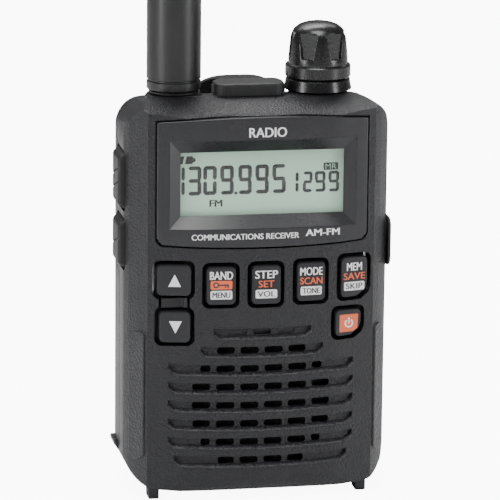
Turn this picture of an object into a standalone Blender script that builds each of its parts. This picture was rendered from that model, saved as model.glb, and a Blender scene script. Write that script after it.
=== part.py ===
"""Handheld aviation radio: a pocket wideband receiver with a screw-on whip antenna.

The lengths below are in millimetres and the helpers turn them into metres. X runs to the
right of the display, Y to the rear and Z up. The front face is centred on X = 0, and the
empty that carries every piece moves the case forward, so that the whole object, belt clip
included, is centred on the origin.
"""

import math

import bmesh
import bpy
from mathutils import Matrix, Vector

MM = 0.001
OBJECT_NAME = "handheld_aviation_radio"
GAP = 0.3

# Case
BODY_WIDTH = 58.0
BODY_DEPTH = 29.8
BODY_BOTTOM = 1.9
BODY_TOP = 87.6
WALL = 2.0
FRONT_Y = -BODY_DEPTH / 2
REAR_Y = BODY_DEPTH / 2
FRONT_RADIUS = 160.0
BEND_X = 16.5
BEND_SLOPE = 0.2114
TOP_FALL = 2.8
FOLD_X = 24.8
SEAM_Y = 0.15
COVER_TOP = 63.0
COVER_FLANK_TOP = 49.2
SMILE = 0.0015
FOOT_X = 23.0
FOOT_WIDTH = 2.3
CLIP_REACH = 8.7

# Display
BEZEL_HALF = 23.0
BEZEL_BOTTOM = 57.4
BEZEL_TOP = 84.0
BEZEL_PROUD = 0.5
WINDOW_HALF = 20.35
WINDOW_Z = (60.8, 80.0)
LCD_HALF = 17.8
LCD_Z = (63.3, 77.2)
LCD_FACE_Y = -12.6

# Keys: centre, width and height, seen from the front
KEY_PROUD = 0.55
KEY_BACK_Y = -11.15
KEY_ROUND = 1.1
KEY_WELL = 0.8
KEYS = {
    "key_up": ((-19.3, 49.6), (7.3, 6.8)),
    "key_down": ((-19.1, 39.3), (6.7, 6.9)),
    "key_band": ((-9.2, 48.3), (6.4, 8.4)),
    "key_step": ((0.6, 48.3), (6.4, 8.6)),
    "key_mode": ((10.5, 48.6), (6.3, 8.6)),
    "key_memory": ((20.25, 49.0), (6.1, 8.9)),
    "key_power": ((19.0, 38.9), (5.9, 5.9)),
}
SIDE_KEYS = {"side_key_function": (63.6, 76.2), "side_key_squelch": (50.6, 61.5)}
SIDE_KEY_Y = (-5.6, 3.0)
SIDE_KEY_X = -30.2

# Grille
SLOT_PITCH = 4.1
SLOT_HEIGHT = 2.1
SLOT_TOP_Z = 37.6
SLOT_HALVES = (10.6, 13.4, 20.3, 20.3, 20.3, 20.3, 20.3, 19.0)
SLOT_DEPTH = 0.9
SPEAKER_Z = 21.4
SPEAKER_OPEN = 15.6
HOLE_COLUMNS = 6
HOLE_PITCH = 5.27
HOLE_WIDTH = 4.0
HOLE_HEIGHT = 1.45

# Top
ANTENNA = (-16.9, 2.3)
ANTENNA_RADIUS = 5.9
ANTENNA_SEAT = 88.5
ANTENNA_TIP = 262.0
STUB_TOP = 92.2
KNOB = (14.9, 2.3)
KNOB_SEAT = 90.5
KNOB_TOP = 102.6
COVER_X = -1.0
COVER_HALF = 7.8
DC_JACK = (-3.6, 55.0)

# Cells and their bay
CELL_RADIUS = 7.1
CELL_LENGTH = 50.2
CELL_X = 7.4
CELL_Y = 5.45
BAY_HALF = 15.6
BAY_Z = (5.9, 61.0)
SPRING_LENGTH = 2.4

# Belt clip
CLIP_Y = 20.0
CLIP_Z = 72.0
CLIP_HALF = 8.1
CLIP_SCREW_RISE = 6.0
CASE_SCREW = (19.0, 69.0)


def arc(centre, radius, start, end, steps):
    """Points of an arc, both ends included, with its angles in degrees."""
    angles = [math.radians(start + (end - start) * i / steps) for i in range(steps + 1)]
    return [(centre[0] + radius * math.cos(a), centre[1] + radius * math.sin(a)) for a in angles]


def rounded(left, right, low, high, radius, steps=3):
    """Rectangle with round corners."""
    return (
        arc((right - radius, high - radius), radius, 0, 90, steps)
        + arc((left + radius, high - radius), radius, 90, 180, steps)
        + arc((left + radius, low + radius), radius, 180, 270, steps)
        + arc((right - radius, low + radius), radius, 270, 360, steps)
    )


def front_y(x, proud=0.0):
    """Depth of the front face at x: a shallow arc, then a flat outer facet."""
    arc_end = min(abs(x), BEND_X)
    bow = arc_end * arc_end / (2 * FRONT_RADIUS) + (abs(x) - arc_end) * BEND_SLOPE
    return FRONT_Y + bow - proud


def steps_between(low, high, count):
    """Evenly spaced numbers, both ends included."""
    return [low + (high - low) * i / count for i in range(count + 1)]


# Scene structure


def clear_scene():
    """Removes what the scene holds."""
    for item in list(bpy.data.objects):
        bpy.data.objects.remove(item, do_unlink=True)


def new_collection(name, hidden=False):
    """Adds a collection to the scene."""
    collection = bpy.data.collections.new(name)
    collection.hide_render = hidden
    bpy.context.scene.collection.children.link(collection)
    return collection


def new_material(name, colour, roughness, metallic=0.0):
    """Makes a Principled material."""
    material = bpy.data.materials.new(name)
    material.use_nodes = True
    shader = material.node_tree.nodes["Principled BSDF"]
    shader.inputs["Base Color"].default_value = (*colour, 1.0)
    shader.inputs["Roughness"].default_value = roughness
    shader.inputs["Metallic"].default_value = metallic
    return material


clear_scene()
PARTS = new_collection(OBJECT_NAME)
CUTTERS = new_collection("cutters", hidden=True)
ROOT = bpy.data.objects.new("radio_frame", None)
PARTS.objects.link(ROOT)
# The clip stands further out at the rear than the keys do at the front, so the case sits forward.
ROOT.location.y = -(REAR_Y + CLIP_REACH + FRONT_Y - KEY_PROUD) / 2 * MM

CASE_BLACK = new_material("case_black", (0.028, 0.028, 0.031), 0.62)
BEZEL_BLACK = new_material("bezel_black", (0.018, 0.018, 0.021), 0.28)
KEY_GREY = new_material("key_grey", (0.045, 0.045, 0.050), 0.55)
RUBBER_BLACK = new_material("rubber_black", (0.022, 0.022, 0.024), 0.75)
KNOB_BLACK = new_material("knob_black", (0.020, 0.020, 0.022), 0.42)
CLEAR_PLASTIC = new_material("clear_plastic", (0.80, 0.83, 0.80), 0.05)
LCD_GREEN = new_material("lcd_green_grey", (0.42, 0.50, 0.38), 0.30)
WHITE_PLASTIC = new_material("white_plastic", (0.75, 0.76, 0.74), 0.40)
BOARD_GREEN = new_material("board_green", (0.02, 0.12, 0.05), 0.45)
STEEL = new_material("plated_steel", (0.55, 0.55, 0.56), 0.30, 1.0)
BRASS = new_material("brass", (0.75, 0.55, 0.25), 0.28, 1.0)
FRAME_GREY = new_material("frame_grey", (0.10, 0.10, 0.11), 0.60)
CONE_BROWN = new_material("cone_paper", (0.06, 0.05, 0.045), 0.80)
CELL_WRAP = new_material("cell_wrap", (0.10, 0.20, 0.34), 0.35)


def add(name, mesh, material=None, origin=(0.0, 0.0, 0.0)):
    """Puts a mesh made in case coordinates on the carrying empty; with no material it's a cutter."""
    mesh.transform(Matrix.Translation(-Vector(origin) * MM))
    item = bpy.data.objects.new(name, mesh)
    item.location = Vector(origin) * MM
    item.parent = ROOT
    if material:
        mesh.materials.append(material)
        PARTS.objects.link(item)
    else:
        CUTTERS.objects.link(item)
        item.hide_render = True
        item.display_type = "WIRE"
    return item


def mesh_from(name, model):
    """Turns a bmesh into a mesh with its faces pointing out."""
    bmesh.ops.recalc_face_normals(model, faces=model.faces)
    mesh = bpy.data.meshes.new(name)
    model.to_mesh(mesh)
    model.free()
    return mesh


def boolean(body, other, operation="DIFFERENCE"):
    """Cuts, joins or intersects a body with a cutter, and returns the body."""
    modifier = body.modifiers.new(operation.title(), "BOOLEAN")
    modifier.operation = operation
    modifier.object = other
    return body


def bevel(body, width, segments=1, angle=40.0):
    """Rounds the edges sharper than an angle."""
    modifier = body.modifiers.new("Bevel", "BEVEL")
    modifier.width = width * MM
    modifier.segments = segments
    modifier.limit_method = "ANGLE"
    modifier.angle_limit = math.radians(angle)
    return body


def smooth(item, angle=35.0):
    """Shades a round piece smooth, with its sharp edges kept."""
    item.data.shade_smooth()
    item.data.set_sharp_from_angle(angle=math.radians(angle))
    return item


def box(name, xs, ys, zs, material=None, origin=(0.0, 0.0, 0.0)):
    """Box between pairs of coordinates."""
    model = bmesh.new()
    size = [(pair[1] - pair[0]) * MM for pair in (xs, ys, zs)]
    middle = [(pair[1] + pair[0]) / 2 * MM for pair in (xs, ys, zs)]
    bmesh.ops.create_cube(model, matrix=Matrix.Translation(middle) @ Matrix.Diagonal((*size, 1.0)))
    return add(name, mesh_from(name, model), material, origin)


AXES = {
    "X": Matrix.Rotation(math.radians(90), 4, "Y"),
    "Y": Matrix.Rotation(math.radians(-90), 4, "X"),
    "Z": Matrix.Identity(4),
}
# Each plane's outline lies in local XY, and this turns it into place.
PLANES = {
    "XY": Matrix.Identity(4),
    "XZ": Matrix(((1, 0, 0, 0), (0, 0, -1, 0), (0, 1, 0, 0), (0, 0, 0, 1))),
    "YZ": Matrix(((0, 0, 1, 0), (1, 0, 0, 0), (0, 1, 0, 0), (0, 0, 0, 1))),
}
PLANE_NORMALS = {"XY": Vector((0, 0, 1)), "XZ": Vector((0, 1, 0)), "YZ": Vector((1, 0, 0))}


def rod(name, radius, start, length, axis="Z", material=None, steps=20, origin=(0.0, 0.0, 0.0)):
    """Cylinder from a start point along an axis."""
    model = bmesh.new()
    middle = Matrix.Translation((0, 0, length / 2 * MM))
    bmesh.ops.create_cone(
        model,
        cap_ends=True,
        segments=steps,
        radius1=radius * MM,
        radius2=radius * MM,
        depth=length * MM,
        matrix=Matrix.Translation(Vector(start) * MM) @ AXES[axis] @ middle,
    )
    return smooth(add(name, mesh_from(name, model), material, origin))


def prism(name, outline, plane, low, high, material=None, origin=(0.0, 0.0, 0.0)):
    """Solid with a flat outline in a plane, reaching from low to high along the third axis."""
    curve = bpy.data.curves.new(name, "CURVE")
    curve.dimensions = "2D"
    curve.fill_mode = "BOTH"
    curve.extrude = (high - low) / 2 * MM
    spline = curve.splines.new("POLY")
    spline.points.add(len(outline) - 1)
    for point, (u, v) in zip(spline.points, outline):
        point.co = (u * MM, v * MM, 0.0, 1.0)
    spline.use_cyclic_u = True
    guide = bpy.data.objects.new(name, curve)
    CUTTERS.objects.link(guide)
    graph = bpy.context.evaluated_depsgraph_get()
    mesh = bpy.data.meshes.new_from_object(guide.evaluated_get(graph))
    middle = PLANE_NORMALS[plane] * (low + high) / 2 * MM
    mesh.transform(Matrix.Translation(middle) @ PLANES[plane])
    bpy.data.objects.remove(guide)
    model = bmesh.new()
    model.from_mesh(mesh)
    bmesh.ops.remove_doubles(model, verts=model.verts, dist=0.001 * MM)
    bpy.data.meshes.remove(mesh)
    return add(name, mesh_from(name, model), material, origin)


def turned(name, profile, centre, axis="Z", material=None, steps=24, origin=None):
    """Solid of revolution about an axis through a centre; the profile's (radius, height) points
    run down its outer side, and it closes on the axis or on itself."""
    mesh = bpy.data.meshes.new(name)
    points = [(radius * MM, 0.0, height * MM) for radius, height in profile]
    edges = [(i, i + 1) for i in range(len(points) - 1)]
    if profile[0][0] > 0 and profile[-1][0] > 0:
        edges.append((len(points) - 1, 0))
    mesh.from_pydata(points, edges, [])
    item = add(name, mesh, material)
    item.location = Vector(centre if origin is None else origin) * MM
    item.rotation_euler = AXES[axis].to_euler()
    screw = item.modifiers.new("Screw", "SCREW")
    screw.steps = steps
    screw.render_steps = steps
    screw.use_merge_vertices = True
    screw.merge_threshold = 0.002 * MM
    screw.use_smooth_shade = True
    return item


def loft(name, rings, material=None):
    """Solid through rings with the same number of points each, capped at both ends."""
    model = bmesh.new()
    loops = [[model.verts.new(Vector(point) * MM) for point in ring] for ring in rings]
    for lower, upper in zip(loops, loops[1:]):
        for i in range(len(lower)):
            model.faces.new((lower[i - 1], lower[i], upper[i], upper[i - 1]))
    model.faces.new(loops[0])
    model.faces.new(loops[-1])
    return add(name, mesh_from(name, model), material)


def wire(name, points, radius, material, origin=(0.0, 0.0, 0.0)):
    """Round wire through points, as one closed body."""
    curve = bpy.data.curves.new(name, "CURVE")
    curve.dimensions = "3D"
    curve.bevel_depth = radius * MM
    curve.bevel_resolution = 2
    curve.use_fill_caps = True
    spline = curve.splines.new("POLY")
    spline.points.add(len(points) - 1)
    for point, place in zip(spline.points, points):
        point.co = (*((Vector(place) - Vector(origin)) * MM), 1.0)
    curve.materials.append(material)
    item = bpy.data.objects.new(name, curve)
    item.location = Vector(origin) * MM
    item.parent = ROOT
    PARTS.objects.link(item)
    return item


# The case, as three outlines that cross


def case_plan(inset):
    """Section seen from above: a shallow front arc, faceted front corners and round rear ones."""
    half = BODY_WIDTH / 2 - inset
    fold = FOLD_X - inset * 0.7
    front = [(x, front_y(x) + inset) for x in steps_between(0, BEND_X, 5) + [fold]]
    corner = [
        (half - 2.5, front_y(FOLD_X) + inset + 2.1),
        (half - 0.9, front_y(FOLD_X) + inset + 4.6),
        (half, front_y(FOLD_X) + inset + 7.0),
    ]
    radius = 9.0 - inset
    rear = arc((half - radius, REAR_Y - inset - radius), radius, 0, 90, 6)
    right = front[1:] + corner + rear
    return [(0.0, front[0][1])] + right + [(-x, y) for x, y in reversed(right)]


def case_front(inset):
    """Outline seen from the front: a curved bottom edge and generous lower corners."""
    half = BODY_WIDTH / 2 - inset
    low, high = BODY_BOTTOM + inset, BODY_TOP - inset
    foot, shoulder = 9.0 - inset, 6.5 - inset / 2
    bottom = [(x, low + SMILE * x * x) for x in steps_between(0, half - foot, 4)]
    lift = bottom[-1][1]
    right = (
        bottom[1:]
        + arc((half - foot, lift + foot), foot, -90, 0, 6)[1:]
        + arc((half - shoulder, high - shoulder), shoulder, 0, 90, 5)
    )
    return [bottom[0]] + right + [(-x, z) for x, z in reversed(right)]


def case_side(inset):
    """Outline seen from the side: the top slopes down to the front and falls to the rear."""
    low, high = BODY_BOTTOM + inset * 0.6, BODY_TOP - inset
    front, rear = FRONT_Y + inset, REAR_Y - inset
    edge = max(2.6 - inset, 0.6)
    slope = [(front, BODY_TOP - 5.2 - inset), (front + 0.4, BODY_TOP - 3.3 - inset)]
    slope += [(front + 2.0, BODY_TOP - 2.0 - inset), (front + 6.5, BODY_TOP - 0.7 - inset)]
    slope += [(-2.0, high)]
    return (
        arc((front + edge, low + edge), edge, 270, 180, 4)
        + slope
        + arc((rear - edge, high - TOP_FALL - edge), edge, 82, 0, 4)
        + arc((rear - edge, low + edge), edge, 0, -90, 4)
    )


def case_form(name, inset, material=None):
    """The case's outer form, or with an inset the hollow inside it."""
    margin = 3.0
    form = prism(name, case_plan(inset), "XY", BODY_BOTTOM - margin, BODY_TOP + margin, material)
    reach = BODY_WIDTH
    boolean(form, prism(name + "_front", case_front(inset), "XZ", -reach, reach), "INTERSECT")
    boolean(form, prism(name + "_side", case_side(inset), "YZ", -reach, reach), "INTERSECT")
    return form


def rear_region(gap):
    """Side outline of all that lies behind the case's seam."""
    far, start = 40.0, SEAM_Y + gap
    return [
        (start, -10.0),
        (start, 76.0 - gap),
        (9.2 + gap, 79.5 - gap),
        (9.2 + gap, 110.0),
        (far, 110.0),
        (far, -10.0),
    ]


def cover_region():
    """Side outline of the battery cover, whose top edge rises to the rear in two steps."""
    far, start = 40.0, SEAM_Y + GAP
    curve = arc((start + 3.6, COVER_FLANK_TOP - 3.6), 3.6, 180, 90, 4)
    rise = [(start + 6.0, COVER_FLANK_TOP + 1.2), (REAR_Y - WALL - 1.0, COVER_TOP)]
    return [(start, -10.0)] + curve + rise + [(far, COVER_TOP), (far, -10.0)]


def front_band(proud, depth):
    """Section between two curves that follow the front face."""
    outer = FOLD_X + 1.5
    xs = [-outer] + steps_between(-BEND_X, BEND_X, 10) + [outer]
    near = [(x, front_y(x, proud)) for x in xs]
    return near + [(x, front_y(x) + depth) for x in reversed(xs)]


def curved_panel(name, outline, proud, depth, material=None, origin=(0.0, 0.0, 0.0)):
    """Plate with an outline seen from the front, which follows the curve of the front face."""
    panel = prism(name, outline, "XZ", FRONT_Y - 6.0, FRONT_Y + 12.0, material, origin)
    band = prism(name + "_band", front_band(proud, depth), "XY", 0.0, BODY_TOP + 5.0)
    return boolean(panel, band, "INTERSECT")


def bezel_outline(grow):
    """Outline of the display bezel: its top and bottom edges bow."""
    half = BEZEL_HALF + grow
    top = [(x, BEZEL_TOP + 1.0 - 1.0 * (x / half) ** 2 + grow) for x in steps_between(half, -half, 8)]
    xs = steps_between(-half + 1.2, half - 1.2, 8)
    low = [(x, BEZEL_BOTTOM - 0.8 + 0.8 * (x / half) ** 2 - grow) for x in xs]
    return top + [(-half, BEZEL_BOTTOM + 1.3 - grow)] + low + [(half, BEZEL_BOTTOM + 1.3 - grow)]


def slot_outline(half, top):
    """One grille slot, bowed like the bottom edge, with its lower corners cut."""
    upper = [(x, top + SMILE * x * x) for x in steps_between(half, -half, 8)]
    lower_half = half - 1.3
    lower = [(x, top - SLOT_HEIGHT + SMILE * x * x) for x in steps_between(-lower_half, lower_half, 8)]
    return upper + [(-half, upper[-1][1] - 1.0)] + lower + [(half, upper[0][1] - 1.0)]


def cut_grille(case):
    """Eight blind slots, and the holes in their floors that lie in front of the speaker."""
    for row, half in enumerate(SLOT_HALVES):
        top = SLOT_TOP_Z + 1.0 - row * SLOT_PITCH
        outline = slot_outline(half, top)
        boolean(case, curved_panel(f"slot_{row}", outline, 2.0, SLOT_DEPTH))
        middle = top - SLOT_HEIGHT / 2
        across = SPEAKER_OPEN**2 - (middle - SPEAKER_Z) ** 2
        if across <= HOLE_WIDTH**2:
            continue
        reach = math.sqrt(across)
        for step in range(HOLE_COLUMNS):
            left = (step - (HOLE_COLUMNS - 1) / 2) * HOLE_PITCH - HOLE_WIDTH / 2
            left, right = max(left, -reach), min(left + HOLE_WIDTH, reach)
            if right - left < 1.0:
                continue
            lift = SMILE * ((left + right) / 2) ** 2
            zs = (middle + lift - HOLE_HEIGHT / 2, middle + lift + HOLE_HEIGHT / 2)
            boolean(case, box(f"hole_{row}_{step}", (left, right), (FRONT_Y - 1, FRONT_Y + 6), zs))


def key_outline(name, grow=0.0):
    """Outline of one front key: the memory and power keys lose their lower right corner."""
    (x, z), (width, height) = KEYS[name]
    left, right = x - width / 2 - grow, x + width / 2 + grow
    low, high = z - height / 2 - grow, z + height / 2 + grow
    radius = KEY_ROUND + grow * 0.5
    outline = rounded(left, right, low, high, radius)
    if name in ("key_memory", "key_power"):
        keep = outline[: -4]
        return keep + [(right - 2.3, low + 0.2), (right - 0.5, low + 1.6), (right, low + 3.0)]
    return outline


def cut_side_wells(case):
    """Openings for the two side keys, which lie across the case's seam."""
    ys = (SIDE_KEY_Y[0] - 0.4, SIDE_KEY_Y[1] + 0.4)
    for name, (low, high) in SIDE_KEYS.items():
        well = box(f"{case.name}_{name}_well", (-35, -25), ys, (low - 0.4, high + 0.4))
        boolean(case, well)


def foot_block(name, side, ys):
    """Short rib under the case, with a sloping end towards the middle of the depth."""
    ramp = 0.8 if ys[0] < 0 else -0.8
    start, end = (ys[0], ys[1]) if ys[0] < 0 else (ys[1], ys[0])
    outline = [(start, 0.0), (end, 0.0), (end + ramp, 4.6), (start, 4.6)]
    middle = side * FOOT_X
    return prism(name, outline, "YZ", middle - FOOT_WIDTH / 2, middle + FOOT_WIDTH / 2)


def build_front_case():
    """Front shell with the display recess, key wells, grille, side openings, top holes and feet."""
    case = case_form("front_case", 0.0, CASE_BLACK)
    low, high = BODY_TOP - 7.0, BODY_TOP - 0.12
    boolean(case, rod("antenna_boss", 6.2, (*ANTENNA, low), high - low, steps=24), "UNION")
    boolean(case, rod("knob_boss", 6.5, (*KNOB, low), high - low, steps=24), "UNION")
    pad = rounded(COVER_X - COVER_HALF, COVER_X + COVER_HALF, -4.3, 3.4, 2.2, 4)
    boolean(case, prism("jack_pad", pad, "XY", low, high), "UNION")
    boolean(case, case_form("front_hollow", WALL))
    boolean(case, prism("front_seam", rear_region(-GAP / 2), "YZ", -BODY_WIDTH, BODY_WIDTH))
    boolean(case, curved_panel("bezel_recess", bezel_outline(GAP), 4.0, 1.2))
    opening = rounded(-21.6, 21.6, 59.6, 81.3, 0.8)
    boolean(case, prism("display_opening", opening, "XZ", FRONT_Y - 3, FRONT_Y + 6))
    for name in KEYS:
        boolean(case, prism(name + "_well", key_outline(name, KEY_WELL), "XZ", FRONT_Y - 3, FRONT_Y + 6))
    bridge = box("key_bridge_well", (-22.4, -15.9), (FRONT_Y - 3, FRONT_Y + 6), (42.0, 47.0))
    boolean(case, bridge)
    cut_grille(case)
    cut_side_wells(case)
    boolean(case, rod("dc_hole", 3.0, (20, *DC_JACK), 15, "X", steps=16))
    boolean(case, rod("antenna_hole", 3.4, (*ANTENNA, 80), 15))
    boolean(case, rod("encoder_hole", 3.4, (*KNOB, 80), 15))
    boolean(case, rod("speaker_jack_hole", 3.3, (COVER_X, 0.0, 80), 15))
    for side in (-1, 1):
        boolean(case, foot_block(f"front_foot_{side}", side, (-11.0, -7.0)), "UNION")
    return case


def build_rear_case():
    """Upper rear shell, above the battery cover, with its screw holes."""
    case = case_form("rear_case", 0.0, CASE_BLACK)
    boolean(case, case_form("rear_hollow", WALL))
    boolean(case, prism("rear_keep", rear_region(GAP / 2), "YZ", -BODY_WIDTH, BODY_WIDTH), "INTERSECT")
    edge = [(y - GAP, z + GAP) for y, z in cover_region()]
    boolean(case, prism("cover_space", edge, "YZ", -BODY_WIDTH, BODY_WIDTH))
    cut_side_wells(case)
    x, z = CASE_SCREW
    for side in (-1, 1):
        boolean(case, rod(f"case_screw_hole_{side}", 1.4, (side * x, 8, z), 10, "Y", steps=12))
        boolean(case, rod(f"case_screw_sink_{side}", 2.4, (side * x, REAR_Y - 0.9, z), 3, "Y", steps=12))
        height = CLIP_Z + side * CLIP_SCREW_RISE
        boolean(case, rod(f"clip_screw_hole_{side}", 1.3, (0, 8, height), 10, "Y", steps=12))
    return case


def build_battery_cover():
    """Lower rear shell, which slides down off the cells, with a thumb ledge on each side."""
    cover = case_form("battery_cover", 0.0, CASE_BLACK)
    boolean(cover, case_form("cover_hollow", WALL))
    boolean(cover, prism("cover_keep", cover_region(), "YZ", -BODY_WIDTH, BODY_WIDTH), "INTERSECT")
    for side in (-1, 1):
        outer = side * (BODY_WIDTH / 2 + 0.8)
        inner = side * (BODY_WIDTH / 2 - 1.0)
        wedge = [(inner, 9.9), (outer, 9.9), (outer, 9.0), (inner, 6.4)]
        boolean(cover, prism(f"cover_ledge_{side}", wedge, "XZ", 2.2, 8.2), "UNION")
        boolean(cover, foot_block(f"rear_foot_{side}", side, (3.5, 9.5)), "UNION")
    return cover


# Display


def window_ring(half, zs, y, grid=6):
    """Ring around a window; with no y it follows the bezel's face."""
    def depth(x):
        return front_y(x, BEZEL_PROUD) if y is None else y

    top = [(x, depth(x), zs[1]) for x in steps_between(half, -half, grid)]
    low = [(x, depth(x), zs[0]) for x in steps_between(-half, half, grid)]
    return top + low


def build_display():
    """Bezel with a bevelled window, clear lens, liquid crystal panel and its light guide."""
    bezel = curved_panel("display_bezel", bezel_outline(0.0), BEZEL_PROUD, 0.9, BEZEL_BLACK)
    outline = rounded(-21.2, 21.2, 60.0, 80.9, 0.6)
    collar = prism("bezel_collar", outline, "XZ", FRONT_Y - 1.0, LCD_FACE_Y + 0.3)
    boolean(collar, prism("collar_form", front_band(-0.35, 8.0), "XY", 50.0, 90.0), "INTERSECT")
    boolean(bezel, collar, "UNION")
    rings = [
        window_ring(WINDOW_HALF, WINDOW_Z, FRONT_Y - 4.0),
        window_ring(WINDOW_HALF, WINDOW_Z, None),
        window_ring(LCD_HALF, LCD_Z, LCD_FACE_Y),
        window_ring(LCD_HALF, LCD_Z, LCD_FACE_Y + 3.0),
    ]
    boolean(bezel, loft("window_cutter", rings))
    box("display_lens", (-20.2, 20.2), (-11.9, -11.2), (61.0, 80.0), CLEAR_PLASTIC)
    box("lcd_panel", (-20.6, 20.6), (-10.9, -10.0), (60.6, 80.4), LCD_GREEN)
    box("lcd_light_guide", (-20.6, 20.6), (-9.7, -8.9), (60.6, 80.4), WHITE_PLASTIC)


# Keys


def build_keys():
    """Seven front keys, each free to be pressed, over one mat with its bridge."""
    for name in KEYS:
        (x, z), _ = KEYS[name]
        key = prism(name, key_outline(name), "XZ", FRONT_Y - 3, KEY_BACK_Y, KEY_GREY, (x, KEY_BACK_Y, z))
        form = prism(name + "_form", front_band(KEY_PROUD, 8.0), "XY", 30, 60)
        boolean(key, form, "INTERSECT")
    mat = box("keypad_mat", (-22.9, 22.9), (-10.35, -9.75), (36.3, 55.0), RUBBER_BLACK)
    ridge = box("mat_bridge", (-21.9, -16.4), (-13.0, -10.0), (43.5, 45.5))
    boolean(mat, ridge, "UNION")


def build_side_keys():
    """Two long keys on the left side, and the small board that they press."""
    for name, (low, high) in SIDE_KEYS.items():
        slant = [(SIDE_KEY_X, low + 1.0), (SIDE_KEY_X, high - 1.0), (-28.6, high)]
        slant += [(-26.4, high), (-26.4, low), (-28.6, low)]
        middle = (-26.4, sum(SIDE_KEY_Y) / 2, (low + high) / 2)
        prism(name, slant, "XZ", *SIDE_KEY_Y, RUBBER_BLACK, middle)
    board = box("side_switch_board", (-25.2, -24.6), (-5.0, 1.6), (51.0, 76.0), BOARD_GREEN)
    for name, (low, high) in SIDE_KEYS.items():
        middle = (low + high) / 2
        zs = (middle - 1.8, middle + 1.8)
        boolean(board, box(name + "_switch", (-25.6, -24.8), (-3.2, 0.4), zs), "UNION")


# Electronics


def dc_jack_space(owner):
    """Notch that lets the power jack pass a board or plate."""
    y, z = DC_JACK
    return box(owner + "_notch", (16.9, 26.0), (y - 4.0, y + 4.0), (z - 3.4, z + 3.4))


def build_boards():
    """Front board with its domes, main board, and the shield over the receiver."""
    board = box("front_board", (-24.0, 24.0), (-8.6, -7.8), (38.2, 83.0), BOARD_GREEN)
    boolean(board, box("front_board_chips", (-14.0, 14.0), (-8.0, -7.0), (50.0, 60.0)), "UNION")
    domes = box("dome_sheet", (-23.4, 23.6), (-9.2, -8.9), (38.6, 54.6), STEEL)
    for name in KEYS:
        (x, z), _ = KEYS[name]
        if z < 41:
            z = 41.2
        dome = rod(name + "_dome", 2.2, (x, -9.0, z), 0.45, "Y", steps=12)
        dome.location.y -= 0.45 * MM
        boolean(domes, dome, "UNION")
    main = box("main_board", (-24.0, 24.0), (-5.9, -5.1), (39.0, 72.0), BOARD_GREEN)
    boolean(main, box("main_board_connector", (-9.0, 9.0), (-6.5, -5.5), (41.0, 44.0)), "UNION")
    boolean(main, dc_jack_space("main_board"))
    shield = box("receiver_shield", (-20.0, 15.0), (-4.8, -3.6), (46.0, 71.0), STEEL)
    bevel(shield, 0.3)


def build_speaker():
    """Speaker behind the grille: basket, cone and magnet, with a dust cloth in front."""
    rod("speaker_cloth", 15.4, (0, -11.0, SPEAKER_Z), 0.4, "Y", RUBBER_BLACK, 24)
    basket = [(12.6, -4.6), (12.6, -3.8), (7.6, -1.6), (7.6, 0.0)]
    basket += [(9.0, 0.0), (9.0, -1.0), (14.4, -3.6), (14.4, -4.6)]
    turned("speaker_frame", basket, (0, -5.6, SPEAKER_Z), "Y", FRAME_GREY, 24)
    cone = [(0.0, -1.4), (3.0, -1.4), (4.2, -0.4), (12.2, -3.2)]
    cone += [(12.2, -3.6), (4.2, -0.9), (3.2, -1.8), (0.0, -1.8)]
    turned("speaker_cone", cone, (0, -6.4, SPEAKER_Z), "Y", CONE_BROWN, 24)
    rod("speaker_magnet", 7.2, (0, -6.1, SPEAKER_Z), 2.3, "Y", STEEL, 24)


def build_chassis():
    """Inner frame: back plate of the electronics, walls of the cell bay and screw posts."""
    frame = box("chassis", (-24.2, 24.2), (-3.1, -2.1), (8.4, 74.5), FRAME_GREY)
    low, high = BAY_Z
    for side in (-1, 1):
        near, far = sorted((side * BAY_HALF, side * (BAY_HALF + 1.2)))
        boolean(frame, box(f"bay_wall_{side}", (near, far), (-2.6, 10.4), (7.0, high + 0.8)), "UNION")
        x, z = CASE_SCREW
        post = rod(f"screw_post_{side}", 2.8, (side * x, -2.6, z), 14.8, "Y", steps=12)
        boolean(frame, post, "UNION")
        boolean(frame, rod(f"post_bore_{side}", 1.3, (side * x, 3.0, z), 12.0, "Y", steps=12))
    across = (-BAY_HALF - 0.6, BAY_HALF + 0.6)
    boolean(frame, box("bay_ceiling", across, (-2.6, 10.4), (high, high + 0.8)), "UNION")
    boolean(frame, box("bay_floor", across, (-3.1, 7.0), (low - 0.9, low)), "UNION")
    boolean(frame, box("bay_floor_web", across, (-3.1, -2.1), (low - 0.4, 9.0)), "UNION")
    boolean(frame, dc_jack_space("chassis"))
    return frame


def cell_profile():
    """Outline of a cell from its positive nub down to its flat end."""
    shoulder = CELL_LENGTH - 1.1
    edge = CELL_RADIUS - 0.4
    return [
        (0.0, CELL_LENGTH),
        (2.6, CELL_LENGTH),
        (2.6, shoulder),
        (edge, shoulder),
        (CELL_RADIUS, shoulder - 0.4),
        (CELL_RADIUS, 0.4),
        (edge, 0.0),
        (0.0, 0.0),
    ]


def conical_spring(name, x, start, direction):
    """Contact spring that narrows towards its plate, with its wide end against the cell."""
    turns, per_turn, wire_radius = 3, 12, 0.3
    count = turns * per_turn
    travel = SPRING_LENGTH - 2 * wire_radius
    points = []
    for i in range(count + 1):
        angle = 2 * math.pi * i / per_turn
        radius = 2.0 + 2.6 * i / count
        height = start + direction * (wire_radius + travel * i / count)
        points.append((x + radius * math.cos(angle), CELL_Y + radius * math.sin(angle), height))
    return wire(name, points, wire_radius, STEEL)


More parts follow.
